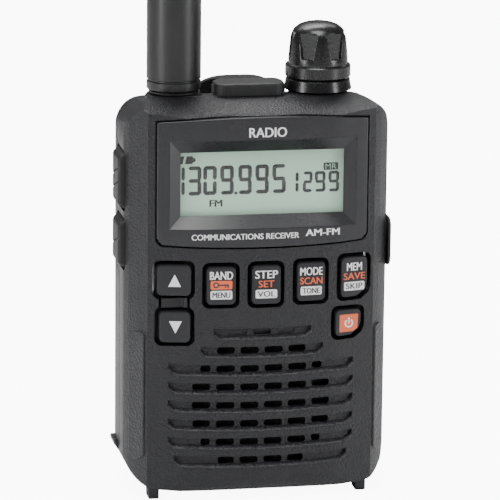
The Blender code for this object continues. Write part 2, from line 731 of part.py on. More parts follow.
def build_cells():
    """Two cells side by side, one each way up, between contact plates and springs."""
    low, high = BAY_Z
    plate = 0.4
    seat = low + 2 * GAP + plate
    foot = seat + SPRING_LENGTH + GAP
    turned("battery_cell_a", cell_profile(), (-CELL_X, CELL_Y, foot), "Z", CELL_WRAP, 20)
    flipped = [(radius, CELL_LENGTH - height) for radius, height in reversed(cell_profile())]
    turned("battery_cell_b", flipped, (CELL_X, CELL_Y, seat), "Z", CELL_WRAP, 20)
    ys = (CELL_Y - 5.0, CELL_Y + 5.0)
    for name, x in (("contact_plate_a", -CELL_X), ("contact_plate_b", CELL_X)):
        box(name, (x - 5.0, x + 5.0), ys, (low + GAP, low + GAP + plate), STEEL)
    roof = high - 0.9
    box("contact_link", (-CELL_X - 5.0, CELL_X + 5.0), ys, (roof, roof + plate), STEEL)
    conical_spring("contact_spring_a", -CELL_X, seat, 1)
    conical_spring("contact_spring_b", CELL_X, roof - GAP, -1)


# Top fittings


def build_antenna_seat():
    """Threaded jack in the case, its nut, and the rubber seal under the antenna."""
    x, y = ANTENNA
    thread, foot = 3.1, 79.6
    flange_top = BODY_TOP - WALL - 2.1
    jack = [
        (0.9, STUB_TOP),
        (thread, STUB_TOP),
        (thread, flange_top),
        (3.9, flange_top),
        (3.9, flange_top - 2.2),
        (2.4, flange_top - 2.2),
        (2.4, foot),
        (0.0, foot),
        (0.0, STUB_TOP - 7.5),
        (0.9, STUB_TOP - 7.5),
    ]
    turned("antenna_jack", jack, (x, y, 0), "Z", BRASS, 20)
    high, low = ANTENNA_SEAT - GAP, BODY_TOP + 0.25
    seal = [(3.5, high), (5.5, high), (5.5, low), (3.5, low)]
    turned("antenna_seal", seal, (x, y, 0), "Z", RUBBER_BLACK, 20)


def sheath_profile(tip, seat, inner):
    """Outline of the antenna's rubber skin from its round tip down to its base ring and bore."""
    base, neck, end = ANTENNA_RADIUS, 4.2, 3.1
    return [
        (0.0, tip),
        (end * 0.55, tip - 0.5),
        (end * 0.9, tip - 1.9),
        (end, tip - 4.0),
        (neck, seat + 48.0),
        (base - 0.7, seat + 40.0),
        (base, seat + 34.0),
        (base, seat + 2.3),
        (base - 0.4, seat + 2.1),
        (base - 0.4, seat + 1.9),
        (base, seat + 1.8),
        (base, seat),
        (inner, seat),
        (inner, seat + 9.0),
        (1.7, seat + 9.0),
        (1.7, tip - 8.0),
        (0.0, tip - 8.0),
    ]


def build_antenna():
    """Whip with a fluted rubber grip, its threaded coupling, centre pin and inner conductor."""
    x, y = ANTENNA
    pivot = (x, y, ANTENNA_SEAT)
    inner = 4.9
    profile = [(r, z - ANTENNA_SEAT) for r, z in sheath_profile(ANTENNA_TIP, ANTENNA_SEAT, inner)]
    sheath = turned("antenna_sheath", profile, (0, 0, 0), "Z", RUBBER_BLACK, 24, pivot)
    for index in range(6):
        turn = math.radians(60 * index)
        cutter = rod(f"flute_{index}", 2.4, (0, 0, 0), 50, "Z", steps=10)
        away = ANTENNA_RADIUS + 2.4
        cutter.location = Vector((x + away * math.cos(turn), y + away * math.sin(turn), 96.5)) * MM
        lean = Vector((-math.cos(turn) * 0.05, -math.sin(turn) * 0.05, 1.0))
        cutter.rotation_euler = lean.to_track_quat("Z", "Y").to_euler()
        boolean(sheath, cutter)
    roof = STUB_TOP + 0.6
    coupling = [
        (0.9, roof + 3.0),
        (inner - GAP, roof + 3.0),
        (inner - GAP, ANTENNA_SEAT + 0.3),
        (3.45, ANTENNA_SEAT + 0.3),
        (3.45, roof),
        (0.9, roof),
    ]
    turned("antenna_coupling", [(r, z - ANTENNA_SEAT) for r, z in coupling], (0, 0, 0), "Z", BRASS, 20, pivot)
    rod("antenna_pin", 0.5, (x, y, STUB_TOP - 6.5), 10.4, "Z", BRASS, 10, origin=pivot)
    core = ANTENNA_TIP - ANTENNA_SEAT - 18.4
    rod("antenna_core", 1.3, (x, y, ANTENNA_SEAT + 9.4), core, "Z", STEEL, 10, origin=pivot)


def build_knob():
    """Rotary encoder through the case top, with its nut, shaft, glossy collar and grip knob."""
    x, y = KNOB
    body = box("encoder_body", (x - 5.7, x + 5.7), (y - 5.0, y + 5.7), (76.4, 83.1), FRAME_GREY)
    boolean(body, rod("encoder_bushing", 3.1, (x, y, 82.6), 7.3, steps=16), "UNION")
    boolean(body, rod("encoder_bore", 1.9, (x, y, 80.0), 12.0, steps=16))
    nut = rod("encoder_nut", 5.1, (x, y, BODY_TOP + GAP), 1.6, "Z", STEEL, 6)
    boolean(nut, rod("encoder_nut_bore", 3.45, (x, y, BODY_TOP - 1), 5, steps=16))
    high, low = KNOB_SEAT - GAP, BODY_TOP + GAP
    turned("knob_collar", [(7.0, high), (7.4, low), (5.7, low), (5.7, high)], (x, y, 0), "Z", BEZEL_BLACK, 28)
    pivot = (x, y, KNOB_SEAT)
    rod("encoder_shaft", 1.5, (x, y, 80.6), 17.6, "Z", STEEL, 12, origin=pivot)
    outer = [
        (0.0, KNOB_TOP),
        (2.6, KNOB_TOP - 0.25),
        (4.6, KNOB_TOP - 1.0),
        (5.8, KNOB_TOP - 2.2),
        (6.2, KNOB_TOP - 4.2),
        (6.5, KNOB_SEAT + 3.6),
        (6.5, KNOB_SEAT + 3.0),
        (7.15, KNOB_SEAT + 2.7),
        (7.15, KNOB_SEAT),
        (3.5, KNOB_SEAT),
        (3.5, KNOB_SEAT + 1.0),
        (1.8, KNOB_SEAT + 1.0),
        (1.8, KNOB_TOP - 4.0),
        (0.0, KNOB_TOP - 4.0),
    ]
    local = [(r, z - KNOB_SEAT) for r, z in outer]
    knob = turned("tuning_knob", local, (0, 0, 0), "Z", KNOB_BLACK, 36, pivot)
    for index in range(6):
        turn = math.radians(60 * index - 3)
        outline = [(5.75, -1.9), (9.0, -2.3), (9.0, 2.3), (5.75, 1.9)]
        spun = [
            (x + u * math.cos(turn) - v * math.sin(turn), y + u * math.sin(turn) + v * math.cos(turn))
            for u, v in outline
        ]
        boolean(knob, prism(f"knob_recess_{index}", spun, "XY", KNOB_SEAT + 4.4, KNOB_TOP - 2.6))


def build_jacks():
    """Speaker jack under the top cover, and power jack under the flap on the right side."""
    top = BODY_TOP - GAP
    sleeve = [(1.9, top), (2.9, top), (2.9, 75.0), (0.0, 75.0), (0.0, 77.5), (1.9, 77.5)]
    turned("speaker_jack", sleeve, (COVER_X, 0.0, 0.0), "Z", FRAME_GREY, 20)
    hinge = (COVER_X - COVER_HALF + 0.8, 0.0, BODY_TOP + 1.3)
    outline = rounded(COVER_X - COVER_HALF, COVER_X + COVER_HALF, -4.3, 3.4, 2.2, 4)
    cover = prism("jack_cover", outline, "XY", BODY_TOP + GAP, BODY_TOP + 2.7, RUBBER_BLACK, hinge)
    bevel(cover, 0.7, 2)
    boolean(cover, rod("jack_cover_plug", 1.4, (COVER_X, 0.0, BODY_TOP - 1.2), 2.4, steps=12), "UNION")
    side = BODY_WIDTH / 2
    y, z = DC_JACK
    barrel = [(1.8, side - 0.4), (2.7, side - 0.4), (2.7, 17.5), (0.0, 17.5)]
    barrel += [(0.0, 26.0), (0.5, 26.0), (0.5, 20.0), (1.8, 20.0)]
    turned("dc_jack", barrel, (0.0, y, z), "X", FRAME_GREY, 20)
    hinge = (side + GAP + 0.4, y, z - 5.2)
    outline = rounded(y - 4.0, y + 3.6, z - 5.4, z + 5.4, 2.0, 4)
    flap = prism("dc_jack_cover", outline, "YZ", side + GAP, -SIDE_KEY_X, RUBBER_BLACK, hinge)
    boolean(flap, rod("dc_plug", 1.3, (side - 1.3, y, z), 2.0, "X", steps=12), "UNION")


def build_belt_clip():
    """Base plate screwed to the rear, and a sprung jaw that opens when its tab is pressed."""
    lug_x = (5.6, 7.0)
    base_y = (REAR_Y + GAP, REAR_Y + GAP + 1.2)
    base = box("clip_base", (-CLIP_HALF, CLIP_HALF), base_y, (CLIP_Z - 8.6, CLIP_Z + 8.6), FRAME_GREY)
    for side in (-1, 1):
        near, far = sorted((side * lug_x[0], side * lug_x[1]))
        lug = [(base_y[0] + 0.4, CLIP_Z - 4.0), (CLIP_Y, CLIP_Z - 1.7)]
        lug += arc((CLIP_Y, CLIP_Z), 1.7, -90, 90, 6)[1:] + [(base_y[0] + 0.4, CLIP_Z + 4.0)]
        boolean(base, prism(f"clip_lug_{side}", lug, "YZ", near, far), "UNION")
        height = CLIP_Z + side * CLIP_SCREW_RISE
        boolean(base, rod(f"clip_base_hole_{side}", 1.3, (0, REAR_Y - 3, height), 8, "Y", steps=12))
    boolean(base, rod("clip_base_bore", 1.15, (-9, CLIP_Y, CLIP_Z), 18, "X", steps=12))
    pivot = (0.0, CLIP_Y, CLIP_Z)
    outer = [(19.8, BODY_TOP + 0.3), (21.2, BODY_TOP - 0.6), (23.4, CLIP_Z + 3)]
    outer += [(23.6, CLIP_Z - 8), (22.9, 50.0), (21.4, 34.0)]
    lip = [(19.2, 30.2), (15.4, 30.6), (15.3, 31.8), (18.6, 33.4), (20.2, 37.0)]
    inner = [(21.5, 50.0), (22.3, CLIP_Z - 8), (22.2, CLIP_Z + 3)]
    inner += [(19.8, BODY_TOP - 1.4), (18.9, BODY_TOP - 0.4)]
    jaw = prism("clip_jaw", outer + lip + inner, "YZ", -CLIP_HALF, CLIP_HALF, FRAME_GREY, pivot)
    for side in (-1, 1):
        near, far = sorted((side * 3.9, side * 5.2))
        ear = arc((CLIP_Y, CLIP_Z), 1.9, 90, 270, 6) + [(22.8, CLIP_Z - 3.2), (22.8, CLIP_Z + 3.2)]
        boolean(jaw, prism(f"clip_ear_{side}", ear, "YZ", near, far), "UNION")
    boolean(jaw, rod("clip_jaw_bore", 1.15, (-9, CLIP_Y, CLIP_Z), 18, "X", steps=12))
    rod("clip_pin", 0.8, (-7.8, CLIP_Y, CLIP_Z), 15.6, "X", STEEL, 12)
    build_clip_spring()


def build_clip_spring():
    """Torsion spring around the clip's pin, with a leg on the base and a leg on the jaw."""
    coil, half, turns, per_turn = 1.45, 2.9, 5, 12
    points = [(-half - 0.1, CLIP_Y - 2.6, CLIP_Z - 8.0), (-half, CLIP_Y - coil - 0.1, CLIP_Z - 1.2)]
    for i in range((turns * per_turn) + per_turn // 2 + 1):
        angle = math.pi - 2 * math.pi * i / per_turn
        shift = -half + 2 * half * i / (turns * per_turn + per_turn // 2)
        points.append((shift, CLIP_Y + coil * math.cos(angle), CLIP_Z + coil * math.sin(angle)))
    points += [(half, CLIP_Y + coil + 0.1, CLIP_Z - 1.2), (half + 0.1, CLIP_Y + 1.2, CLIP_Z - 8.0)]
    wire("clip_spring", points, 0.3, STEEL)


def build_screws():
    """Two screws through the rear shell and two through the clip's base."""
    head, shank = 2.0, 1.0
    x, z = CASE_SCREW
    places = {
        "case_screw_left": (-x, REAR_Y - 0.05, z),
        "case_screw_right": (x, REAR_Y - 0.05, z),
        "clip_screw_lower": (0.0, REAR_Y + GAP + 2.3, CLIP_Z - CLIP_SCREW_RISE),
        "clip_screw_upper": (0.0, REAR_Y + GAP + 2.3, CLIP_Z + CLIP_SCREW_RISE),
    }
    for name, place in places.items():
        profile = [(0.0, 0.0), (head - 0.4, 0.0), (head, -0.3), (head, -0.55)]
        profile += [(shank, -0.55), (shank, -7.5), (0.0, -7.5)]
        screw = turned(name, profile, place, "Y", STEEL, 14)
        px, py, pz = place
        boolean(screw, box(name + "_slot", (px - 0.25, px + 0.25), (py - 0.3, py + 1), (pz - 1.2, pz + 1.2)))


def main():
    """Builds every sub-part."""
    build_front_case()
    build_rear_case()
    build_battery_cover()
    build_display()
    build_keys()
    build_side_keys()
    build_boards()
    build_speaker()
    build_chassis()
    build_cells()
    build_antenna_seat()
    build_antenna()
    build_knob()
    build_jacks()
    build_belt_clip()
    build_screws()


main()
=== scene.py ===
"""Handheld aviation radio in its finishes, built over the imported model.

Lengths in the classes below are in millimetres and in case coordinates: X runs to the right of
the display, Y to the rear and Z up, with the case's mid-depth at Y = 0. A finished piece is
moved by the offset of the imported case, so that its place lies in its mesh.
"""

import enum
import logging
import math
from dataclasses import dataclass
from typing import Callable, Sequence

import bpy
from mathutils import Matrix, Vector


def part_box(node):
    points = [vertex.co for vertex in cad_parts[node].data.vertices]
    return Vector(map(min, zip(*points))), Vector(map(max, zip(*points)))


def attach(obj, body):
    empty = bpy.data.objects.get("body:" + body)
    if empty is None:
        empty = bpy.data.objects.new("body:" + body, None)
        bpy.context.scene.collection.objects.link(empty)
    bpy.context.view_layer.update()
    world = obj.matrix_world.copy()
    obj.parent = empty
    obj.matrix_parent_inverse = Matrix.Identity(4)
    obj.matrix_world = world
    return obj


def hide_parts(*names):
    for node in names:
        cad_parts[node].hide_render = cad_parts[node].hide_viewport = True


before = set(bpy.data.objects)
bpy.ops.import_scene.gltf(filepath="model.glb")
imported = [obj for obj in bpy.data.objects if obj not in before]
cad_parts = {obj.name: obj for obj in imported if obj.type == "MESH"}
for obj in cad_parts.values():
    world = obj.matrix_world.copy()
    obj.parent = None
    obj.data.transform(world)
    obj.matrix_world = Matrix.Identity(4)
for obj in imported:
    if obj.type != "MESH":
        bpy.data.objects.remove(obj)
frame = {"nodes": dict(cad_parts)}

Point = tuple[float, float]
Place = tuple[float, float, float]
Colour = tuple[float, float, float]
Item = bpy.types.Object

MM = 0.001
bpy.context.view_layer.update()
FRONT_APEX = -14.9
REAR_FACE = 14.9
FRONT_RADIUS = 160.0
BEND_X = 16.5
BEND_SLOPE = 0.2114
CASE_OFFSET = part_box("front_case")[0].y / MM - FRONT_APEX

log = logging.getLogger("radio")


class Plane(enum.Enum):
    """Planes that a flat outline may lie in; the solid grows along the third axis."""

    TOP = "top"
    FRONT = "front"
    SIDE = "side"

    def place(self, u: float, v: float, along: float) -> Place:
        """Point of the plane, at a distance along its normal.

        Args:
            u: First coordinate in the plane.
            v: Second coordinate in the plane.
            along: Distance along the normal.

        Returns:
            The point in case coordinates.
        """
        if self is Plane.TOP:
            return (u, v, along)
        if self is Plane.FRONT:
            return (u, along, v)
        return (along, u, v)


class Axis(enum.Enum):
    """Axis that a turned piece is spun about, with the turn that brings it there from Z."""

    X = (0.0, math.pi / 2, 0.0)
    Y = (-math.pi / 2, 0.0, 0.0)
    Z = (0.0, 0.0, 0.0)


class Cut(enum.Enum):
    """How a tool changes a piece."""

    AWAY = "DIFFERENCE"
    ON = "UNION"
    WITHIN = "INTERSECT"


# Outlines


def spread(low: float, high: float, count: int) -> list[float]:
    """Evenly spaced numbers, both ends included.

    Args:
        low: First number.
        high: Last number.
        count: Number of gaps between them.

    Returns:
        The numbers.
    """
    return [low + (high - low) * i / count for i in range(count + 1)]


def arc(centre: Point, radius: float, start: float, end: float, steps: int) -> list[Point]:
    """Points of an arc, both ends included.

    Args:
        centre: Centre of the arc.
        radius: Its radius.
        start: First angle, in degrees.
        end: Last angle, in degrees.
        steps: Number of chords.

    Returns:
        The points.
    """
    angles = [math.radians(a) for a in spread(start, end, steps)]
    return [(centre[0] + radius * math.cos(a), centre[1] + radius * math.sin(a)) for a in angles]


def rounded(left: float, right: float, low: float, high: float, radius: float, steps: int = 6) -> list[Point]:
    """Rectangle with round corners.

    Args:
        left: Left side.
        right: Right side.
        low: Lower side.
        high: Upper side.
        radius: Corner radius.
        steps: Chords in a corner.

    Returns:
        The outline, anticlockwise from the upper right corner.
    """
    return (
        arc((right - radius, high - radius), radius, 0, 90, steps)
        + arc((left + radius, high - radius), radius, 90, 180, steps)
        + arc((left + radius, low + radius), radius, 180, 270, steps)
        + arc((right - radius, low + radius), radius, 270, 360, steps)
    )


def bow_back(x: float) -> float:
    """How far the front face lies behind its middle at x: a shallow arc, then a flat outer facet."""
    arc_end = min(abs(x), BEND_X)
    return arc_end * arc_end / (2 * FRONT_RADIUS) + (abs(x) - arc_end) * BEND_SLOPE


def front_y(x: float, proud: float = 0.0) -> float:
    """Depth of the front face at x, or of a face that stands proud of it."""
    return FRONT_APEX + bow_back(x) - proud


def case_box(node: str) -> tuple[Vector, Vector]:
    """Lowest and highest corner of a CAD node, in case coordinates and millimetres."""
    low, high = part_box(node)
    shift = Vector((0, CASE_OFFSET, 0))
    return low / MM - shift, high / MM - shift


# The bench: every piece is added, shaped and finished with these


def drop_all() -> None:
    """Leaves nothing selected."""
    bpy.ops.object.select_all(action="DESELECT")


def take(piece: Item) -> None:
    """Makes a piece the only one selected and active."""
    drop_all()
    piece.select_set(True)
    bpy.context.view_layer.objects.active = piece


def clean_shell(piece: Item) -> None:
    """Merges a piece's doubled points and turns its faces outwards."""
    take(piece)
    bpy.ops.object.mode_set(mode="EDIT")
    bpy.ops.mesh.select_all(action="SELECT")
    bpy.ops.mesh.remove_doubles(threshold=2e-6)
    bpy.ops.mesh.delete_loose(use_verts=True, use_edges=True, use_faces=False)
    bpy.ops.mesh.normals_make_consistent(inside=False)
    bpy.ops.object.mode_set(mode="OBJECT")


def lofted(name: str, rings: Sequence[Sequence[Place]]) -> Item:
    """Solid through closed rings that have the same number of points, capped at both ends.

    Args:
        name: Name of the piece.
        rings: The rings, in order.

    Returns:
        The new piece.
    """
    drop_all()
    around = len(rings[0])
    bpy.ops.mesh.primitive_grid_add(x_subdivisions=around, y_subdivisions=len(rings) - 1, size=1.0)
    piece = bpy.context.object
    piece.name = name
    for index, vertex in enumerate(piece.data.vertices):
        row, column = divmod(index, around + 1)
        vertex.co = Vector(rings[row][column % around]) * MM
    bpy.ops.object.mode_set(mode="EDIT")
    bpy.ops.mesh.select_all(action="SELECT")
    bpy.ops.mesh.remove_doubles(threshold=2e-6)
    bpy.ops.mesh.fill_holes(sides=0)
    bpy.ops.mesh.select_all(action="SELECT")
    bpy.ops.mesh.normals_make_consistent(inside=False)
    bpy.ops.object.mode_set(mode="OBJECT")
    return piece


def plate(name: str, outline: Sequence[Point], plane: Plane, low: float, high: float) -> Item:
    """Solid with a flat outline: its face is laid down and extruded.

    Args:
        name: Name of the piece.
        outline: Points of the outline, in the plane.
        plane: Plane of the outline.
        low: Where the solid starts along the plane's normal.
        high: Where it ends.

    Returns:
        The new piece.
    """
    drop_all()
    bpy.ops.mesh.primitive_circle_add(vertices=len(outline), fill_type="NGON")
    piece = bpy.context.object
    piece.name = name
    for vertex, (u, v) in zip(piece.data.vertices, outline):
        vertex.co = Vector(plane.place(u, v, low)) * MM
    travel = Vector(plane.place(0, 0, high - low)) * MM
    bpy.ops.object.mode_set(mode="EDIT")
    bpy.ops.mesh.select_all(action="SELECT")
    bpy.ops.mesh.extrude_region_move(TRANSFORM_OT_translate={"value": travel})
    bpy.ops.mesh.select_all(action="SELECT")
    bpy.ops.mesh.normals_make_consistent(inside=False)
    bpy.ops.object.mode_set(mode="OBJECT")
    return piece


def block(name: str, xs: Point, ys: Point, zs: Point) -> Item:
    """Block between pairs of coordinates."""
    outline = [(xs[0], zs[0]), (xs[1], zs[0]), (xs[1], zs[1]), (xs[0], zs[1])]
    return plate(name, outline, Plane.FRONT, ys[0], ys[1])


def turned(name: str, profile: Sequence[Point], centre: Place, axis: Axis = Axis.Z, steps: int = 48) -> Item:
    """Solid of revolution: a profile is spun round an axis.

    Args:
        name: Name of the piece.
        profile: Radius and height of each point; it closes on the axis or on itself.
        centre: Point that the axis passes through, from which heights are measured.
        axis: Direction of the axis.
        steps: Number of steps in a turn.

    Returns:
        The new piece.
    """
    drop_all()
    bpy.ops.mesh.primitive_circle_add(vertices=len(profile), fill_type="NOTHING")
    piece = bpy.context.object
    piece.name = name
    for vertex, (radius, height) in zip(piece.data.vertices, profile):
        vertex.co = Vector((radius, 0, height)) * MM
    bpy.ops.object.mode_set(mode="EDIT")
    bpy.ops.mesh.select_all(action="SELECT")
    bpy.ops.mesh.spin(steps=steps, angle=2 * math.pi, center=(0, 0, 0), axis=(0, 0, 1))
    bpy.ops.object.mode_set(mode="OBJECT")
    clean_shell(piece)
    piece.rotation_euler = axis.value
    piece.location = Vector(centre) * MM
    bpy.ops.object.transform_apply(location=True, rotation=True, scale=True)
    return piece


def rod(name: str, radius: float, start: Place, length: float, axis: Axis = Axis.Z, steps: int = 32) -> Item:
    """Round bar from a start point along an axis, for boring and for joining on."""
    profile = [(0.0, 0.0), (radius, 0.0), (radius, length), (0.0, length)]
    return turned(name, profile, start, axis, steps)


def as_one(pieces: Sequence[Item]) -> Item:
    """Joins pieces into the first, with their shapes as they are.

    Args:
        pieces: The pieces.

    Returns:
        The one that is left.
    """
    drop_all()
    for piece in pieces:
        piece.select_set(True)
    bpy.context.view_layer.objects.active = pieces[0]
    bpy.ops.object.join()
    return pieces[0]


def shape(piece: Item, tool: Item, cut: Cut = Cut.AWAY) -> Item:
    """Cuts a piece with a tool, joins the tool on, or keeps what lies in both.

    Args:
        piece: The piece that changes.
        tool: The tool, which is used up.
        cut: What the tool does.

    Returns:
        The piece.
    """
    take(piece)
    step = piece.modifiers.new(cut.name, "BOOLEAN")
    step.operation = cut.value
    step.solver = "EXACT"
    step.object = tool
    bpy.ops.object.modifier_apply(modifier=step.name)
    bpy.data.meshes.remove(tool.data)
    return piece


def soften(piece: Item, width: float, segments: int = 3, angle: float = 35.0) -> Item:
    """Rounds every edge of a piece that is sharper than an angle.

    Args:
        piece: The piece.
        width: Width of the rounding.
        segments: Faces across it.
        angle: Angle in degrees from which an edge is rounded.

    Returns:
        The piece.
    """
    take(piece)
    step = piece.modifiers.new("soften", "BEVEL")
    step.width = width * MM
    step.segments = segments
    step.limit_method = "ANGLE"
    step.angle_limit = math.radians(angle)
    step.miter_outer = "MITER_ARC"
    bpy.ops.object.modifier_apply(modifier=step.name)
    return piece


def soften_rims(piece: Item, chosen: Callable[[Vector], bool], width: float, sharp: float = 50.0) -> Item:
    """Bevels the sharp edges of a piece whose two ends lie at a chosen place.

    Args:
        piece: The piece.
        chosen: Says whether a point, in millimetres, lies at the place.
        width: Width of the bevel.
        sharp: Angle in degrees from which an edge counts as sharp.

    Returns:
        The piece.
    """
    take(piece)
    bpy.ops.object.mode_set(mode="EDIT")
    bpy.ops.mesh.select_mode(type="EDGE")
    bpy.ops.mesh.select_all(action="DESELECT")
    bpy.ops.mesh.edges_select_sharp(sharpness=math.radians(sharp))
    bpy.ops.object.mode_set(mode="OBJECT")
    points = piece.data.vertices
    inside = [chosen(vertex.co / MM) for vertex in points]
    for edge in piece.data.edges:
        first, second = edge.vertices
        edge.select = edge.select and inside[first] and inside[second]
    for face in piece.data.polygons:
        face.select = False
    for vertex in points:
        vertex.select = False
    bpy.ops.object.mode_set(mode="EDIT")
    bpy.ops.mesh.bevel(offset=width * MM, segments=2, affect="EDGES", clamp_overlap=False)
    bpy.ops.mesh.select_mode(type="VERT")
    bpy.ops.object.mode_set(mode="OBJECT")
    return piece


def follow_front(piece: Item) -> Item:
    """Bows a piece that was built against a flat front, so that it follows the curved one."""
    for vertex in piece.data.vertices:
        vertex.co.y += bow_back(vertex.co.x / MM) * MM
    return piece


def lettering(name: str, words: str, centre: Point, height: float, width: float, y: float, weight: float) -> Item:
    """Printed words that face forwards, a film of ink thick.

    Args:
        name: Name of the piece.
        words: What is printed.
        centre: Middle of the words, seen from the front.
        height: Height of a capital.
        width: Width of the whole word.
        y: Depth that the middle of the ink lies at.
        weight: How much the strokes are fattened to each side, as a share of the height.

    Returns:
        The new piece.
    """
    drop_all()
    bpy.ops.object.text_add()
    piece = bpy.context.object
    piece.name = name
    piece.data.body = words
    piece.data.size = height * MM * 1.37
    piece.data.extrude = 0.012 * MM
    piece.data.resolution_u = 3
    bpy.ops.object.convert(target="MESH")
    piece = bpy.context.object
    corners = [vertex.co.copy() for vertex in piece.data.vertices]
    low = [min(c[i] for c in corners) for i in range(2)]
    high = [max(c[i] for c in corners) for i in range(2)]
    stretch = width * MM / (high[0] - low[0])
    rise = height * MM / (high[1] - low[1])
    middle = Vector(((low[0] + high[0]) / 2, (low[1] + high[1]) / 2, 0))
    piece.data.transform(Matrix.Diagonal((stretch, rise, 1.0, 1.0)) @ Matrix.Translation(-middle))
    piece.rotation_euler = (math.pi / 2, 0, 0)
    piece.location = Vector((centre[0], y, centre[1])) * MM
    bpy.ops.object.transform_apply(location=True, rotation=True, scale=True)
    clean_shell(piece)
    copies = [piece]
    for way in (-1, 1) if weight else ():
        copy = piece.copy()
        copy.data = piece.data.copy()
        bpy.context.scene.collection.objects.link(copy)
        copy.data.transform(Matrix.Translation((way * weight * height * MM, way * 0.002 * MM, 0)))
        copies.append(copy)
    return as_one(copies)


def printed(name: str, outline: Sequence[Point], y: float, thick: float = 0.024) -> Item:
    """Printed flat shape that faces forwards, a film of ink thick."""
    return plate(name, outline, Plane.FRONT, y - thick / 2, y + thick / 2)


def hand_over(piece: Item, finish: bpy.types.Material, body: str, *nodes: str, smooth: float = 32.0) -> Item:
    """Finishes a piece: its place, shading, finish and the CAD body that it moves with.

    Args:
        piece: The piece, in case coordinates.
        finish: Its material.
        body: The CAD body that it rides on.
        nodes: CAD nodes that it stands for.
        smooth: Angle in degrees under which faces shade into each other.

    Returns:
        The piece.
    """
    clean_shell(piece)
    piece.location = (0, CASE_OFFSET * MM, 0)
    bpy.ops.object.transform_apply(location=True, rotation=True, scale=True)
    bpy.ops.object.shade_smooth_by_angle(angle=math.radians(smooth))
    weigh = piece.modifiers.new("weigh", "WEIGHTED_NORMAL")
    weigh.keep_sharp = True
    bpy.ops.object.modifier_apply(modifier=weigh.name)
    piece.data.materials.clear()
    piece.data.materials.append(finish)
    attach(piece, body)
    if nodes:
        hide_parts(*nodes)
    log.info("%s: %d faces on %s", piece.name, len(piece.data.polygons), body)
    return piece


# Finishes


class Wiring:
    """Adds and joins the nodes of a material or a group."""

    def __init__(self, tree: bpy.types.NodeTree) -> None:
        """Takes the tree to be wired."""
        self.tree = tree

    def node(self, kind: str, **values: object) -> bpy.types.Node:
        """Adds a node.

        Args:
            kind: The node's type, without the ShaderNode in front.
            values: Properties of the node, or values of its inputs by name with _ for a space.

        Returns:
            The node.
        """
        made = self.tree.nodes.new("ShaderNode" + kind)
        for key, value in values.items():
            socket = made.inputs.get(key.replace("_", " "))
            if socket is None:
                setattr(made, key, value)
            else:
                socket.default_value = value
        return made

    def join(self, source: bpy.types.NodeSocket, target: bpy.types.NodeSocket) -> None:
        """Links an output to an input."""
        self.tree.links.new(source, target)

    def sum(self, operation: str, first: object, second: object, clamp: bool = False) -> bpy.types.NodeSocket:
        """Adds a math node.

        Args:
            operation: Name of the operation.
            first: A socket or a number.
            second: A socket or a number.
            clamp: Whether the result is kept from 0 to 1.

        Returns:
            The node's output.
        """
        made = self.node("Math", operation=operation, use_clamp=clamp)
        for socket, value in zip(made.inputs, (first, second)):
            if isinstance(value, bpy.types.NodeSocket):
                self.join(value, socket)
            else:
                socket.default_value = value
        return made.outputs[0]

    def blend(self, share: object, first: object, second: object) -> bpy.types.NodeSocket:
        """Mixes two colours.

        Args:
            share: Socket or number from 0 to 1.
            first: Socket or colour at 0.
            second: Socket or colour at 1.

        Returns:
            The mixed colour.
        """
        made = self.node("Mix", data_type="RGBA")
        for socket, value in zip((made.inputs[0], made.inputs[6], made.inputs[7]), (share, first, second)):
            if isinstance(value, bpy.types.NodeSocket):
                self.join(value, socket)
            elif isinstance(value, tuple):
                socket.default_value = (*value, 1.0)
            else:
                socket.default_value = value
        return made.outputs[2]


def new_group(name: str, inputs: dict[str, float], outputs: Sequence[str]) -> tuple[Wiring, dict, dict]:
    """Starts a node group with a Vector input, named number inputs and named number outputs.

    Args:
        name: Name of the group.
        inputs: Name and first value of each number input.
        outputs: Names of the outputs.

    Returns:
        The wiring, the group's inputs by name and its outputs by name.
    """
    tree = bpy.data.node_groups.new(name, "ShaderNodeTree")
    tree.interface.new_socket(name="Vector", in_out="INPUT", socket_type="NodeSocketVector")
    for key, value in inputs.items():
        socket = tree.interface.new_socket(name=key, in_out="INPUT", socket_type="NodeSocketFloat")
        socket.default_value = value
    for key in outputs:
        tree.interface.new_socket(name=key, in_out="OUTPUT", socket_type="NodeSocketFloat")
    wiring = Wiring(tree)
    start = tree.nodes.new("NodeGroupInput")
    end = tree.nodes.new("NodeGroupOutput")
    return wiring, {s.name: s for s in start.outputs}, {s.name: s for s in end.inputs}


def build_grain() -> bpy.types.NodeTree:
    """Spark-eroded mould texture: small soft pebbles over a finer roughness.

    Returns:
        The group, with a Size input in millimetres and a Height output from 0 to 1.
    """
    wiring, given, wanted = new_group("mould_grain", {"Size": 0.4}, ["Height"])
    scale = wiring.sum("DIVIDE", 1000.0, given["Size"])
    pebbles = wiring.node("TexVoronoi", feature="SMOOTH_F1", Smoothness=0.6, Randomness=1.0)
    fine = wiring.node("TexNoise", Detail=2.0, Roughness=0.6)
    wiring.join(given["Vector"], pebbles.inputs["Vector"])
    wiring.join(given["Vector"], fine.inputs["Vector"])
    wiring.join(scale, pebbles.inputs["Scale"])
    wiring.join(wiring.sum("MULTIPLY", scale, 1.7), fine.inputs["Scale"])
    round_top = wiring.sum("SUBTRACT", 1.0, pebbles.outputs["Distance"])
    part = wiring.sum("MULTIPLY", fine.outputs["Fac"], 0.7)
    wiring.join(wiring.sum("ADD", wiring.sum("MULTIPLY", round_top, 0.6), part, True), wanted["Height"])
    return wiring.tree


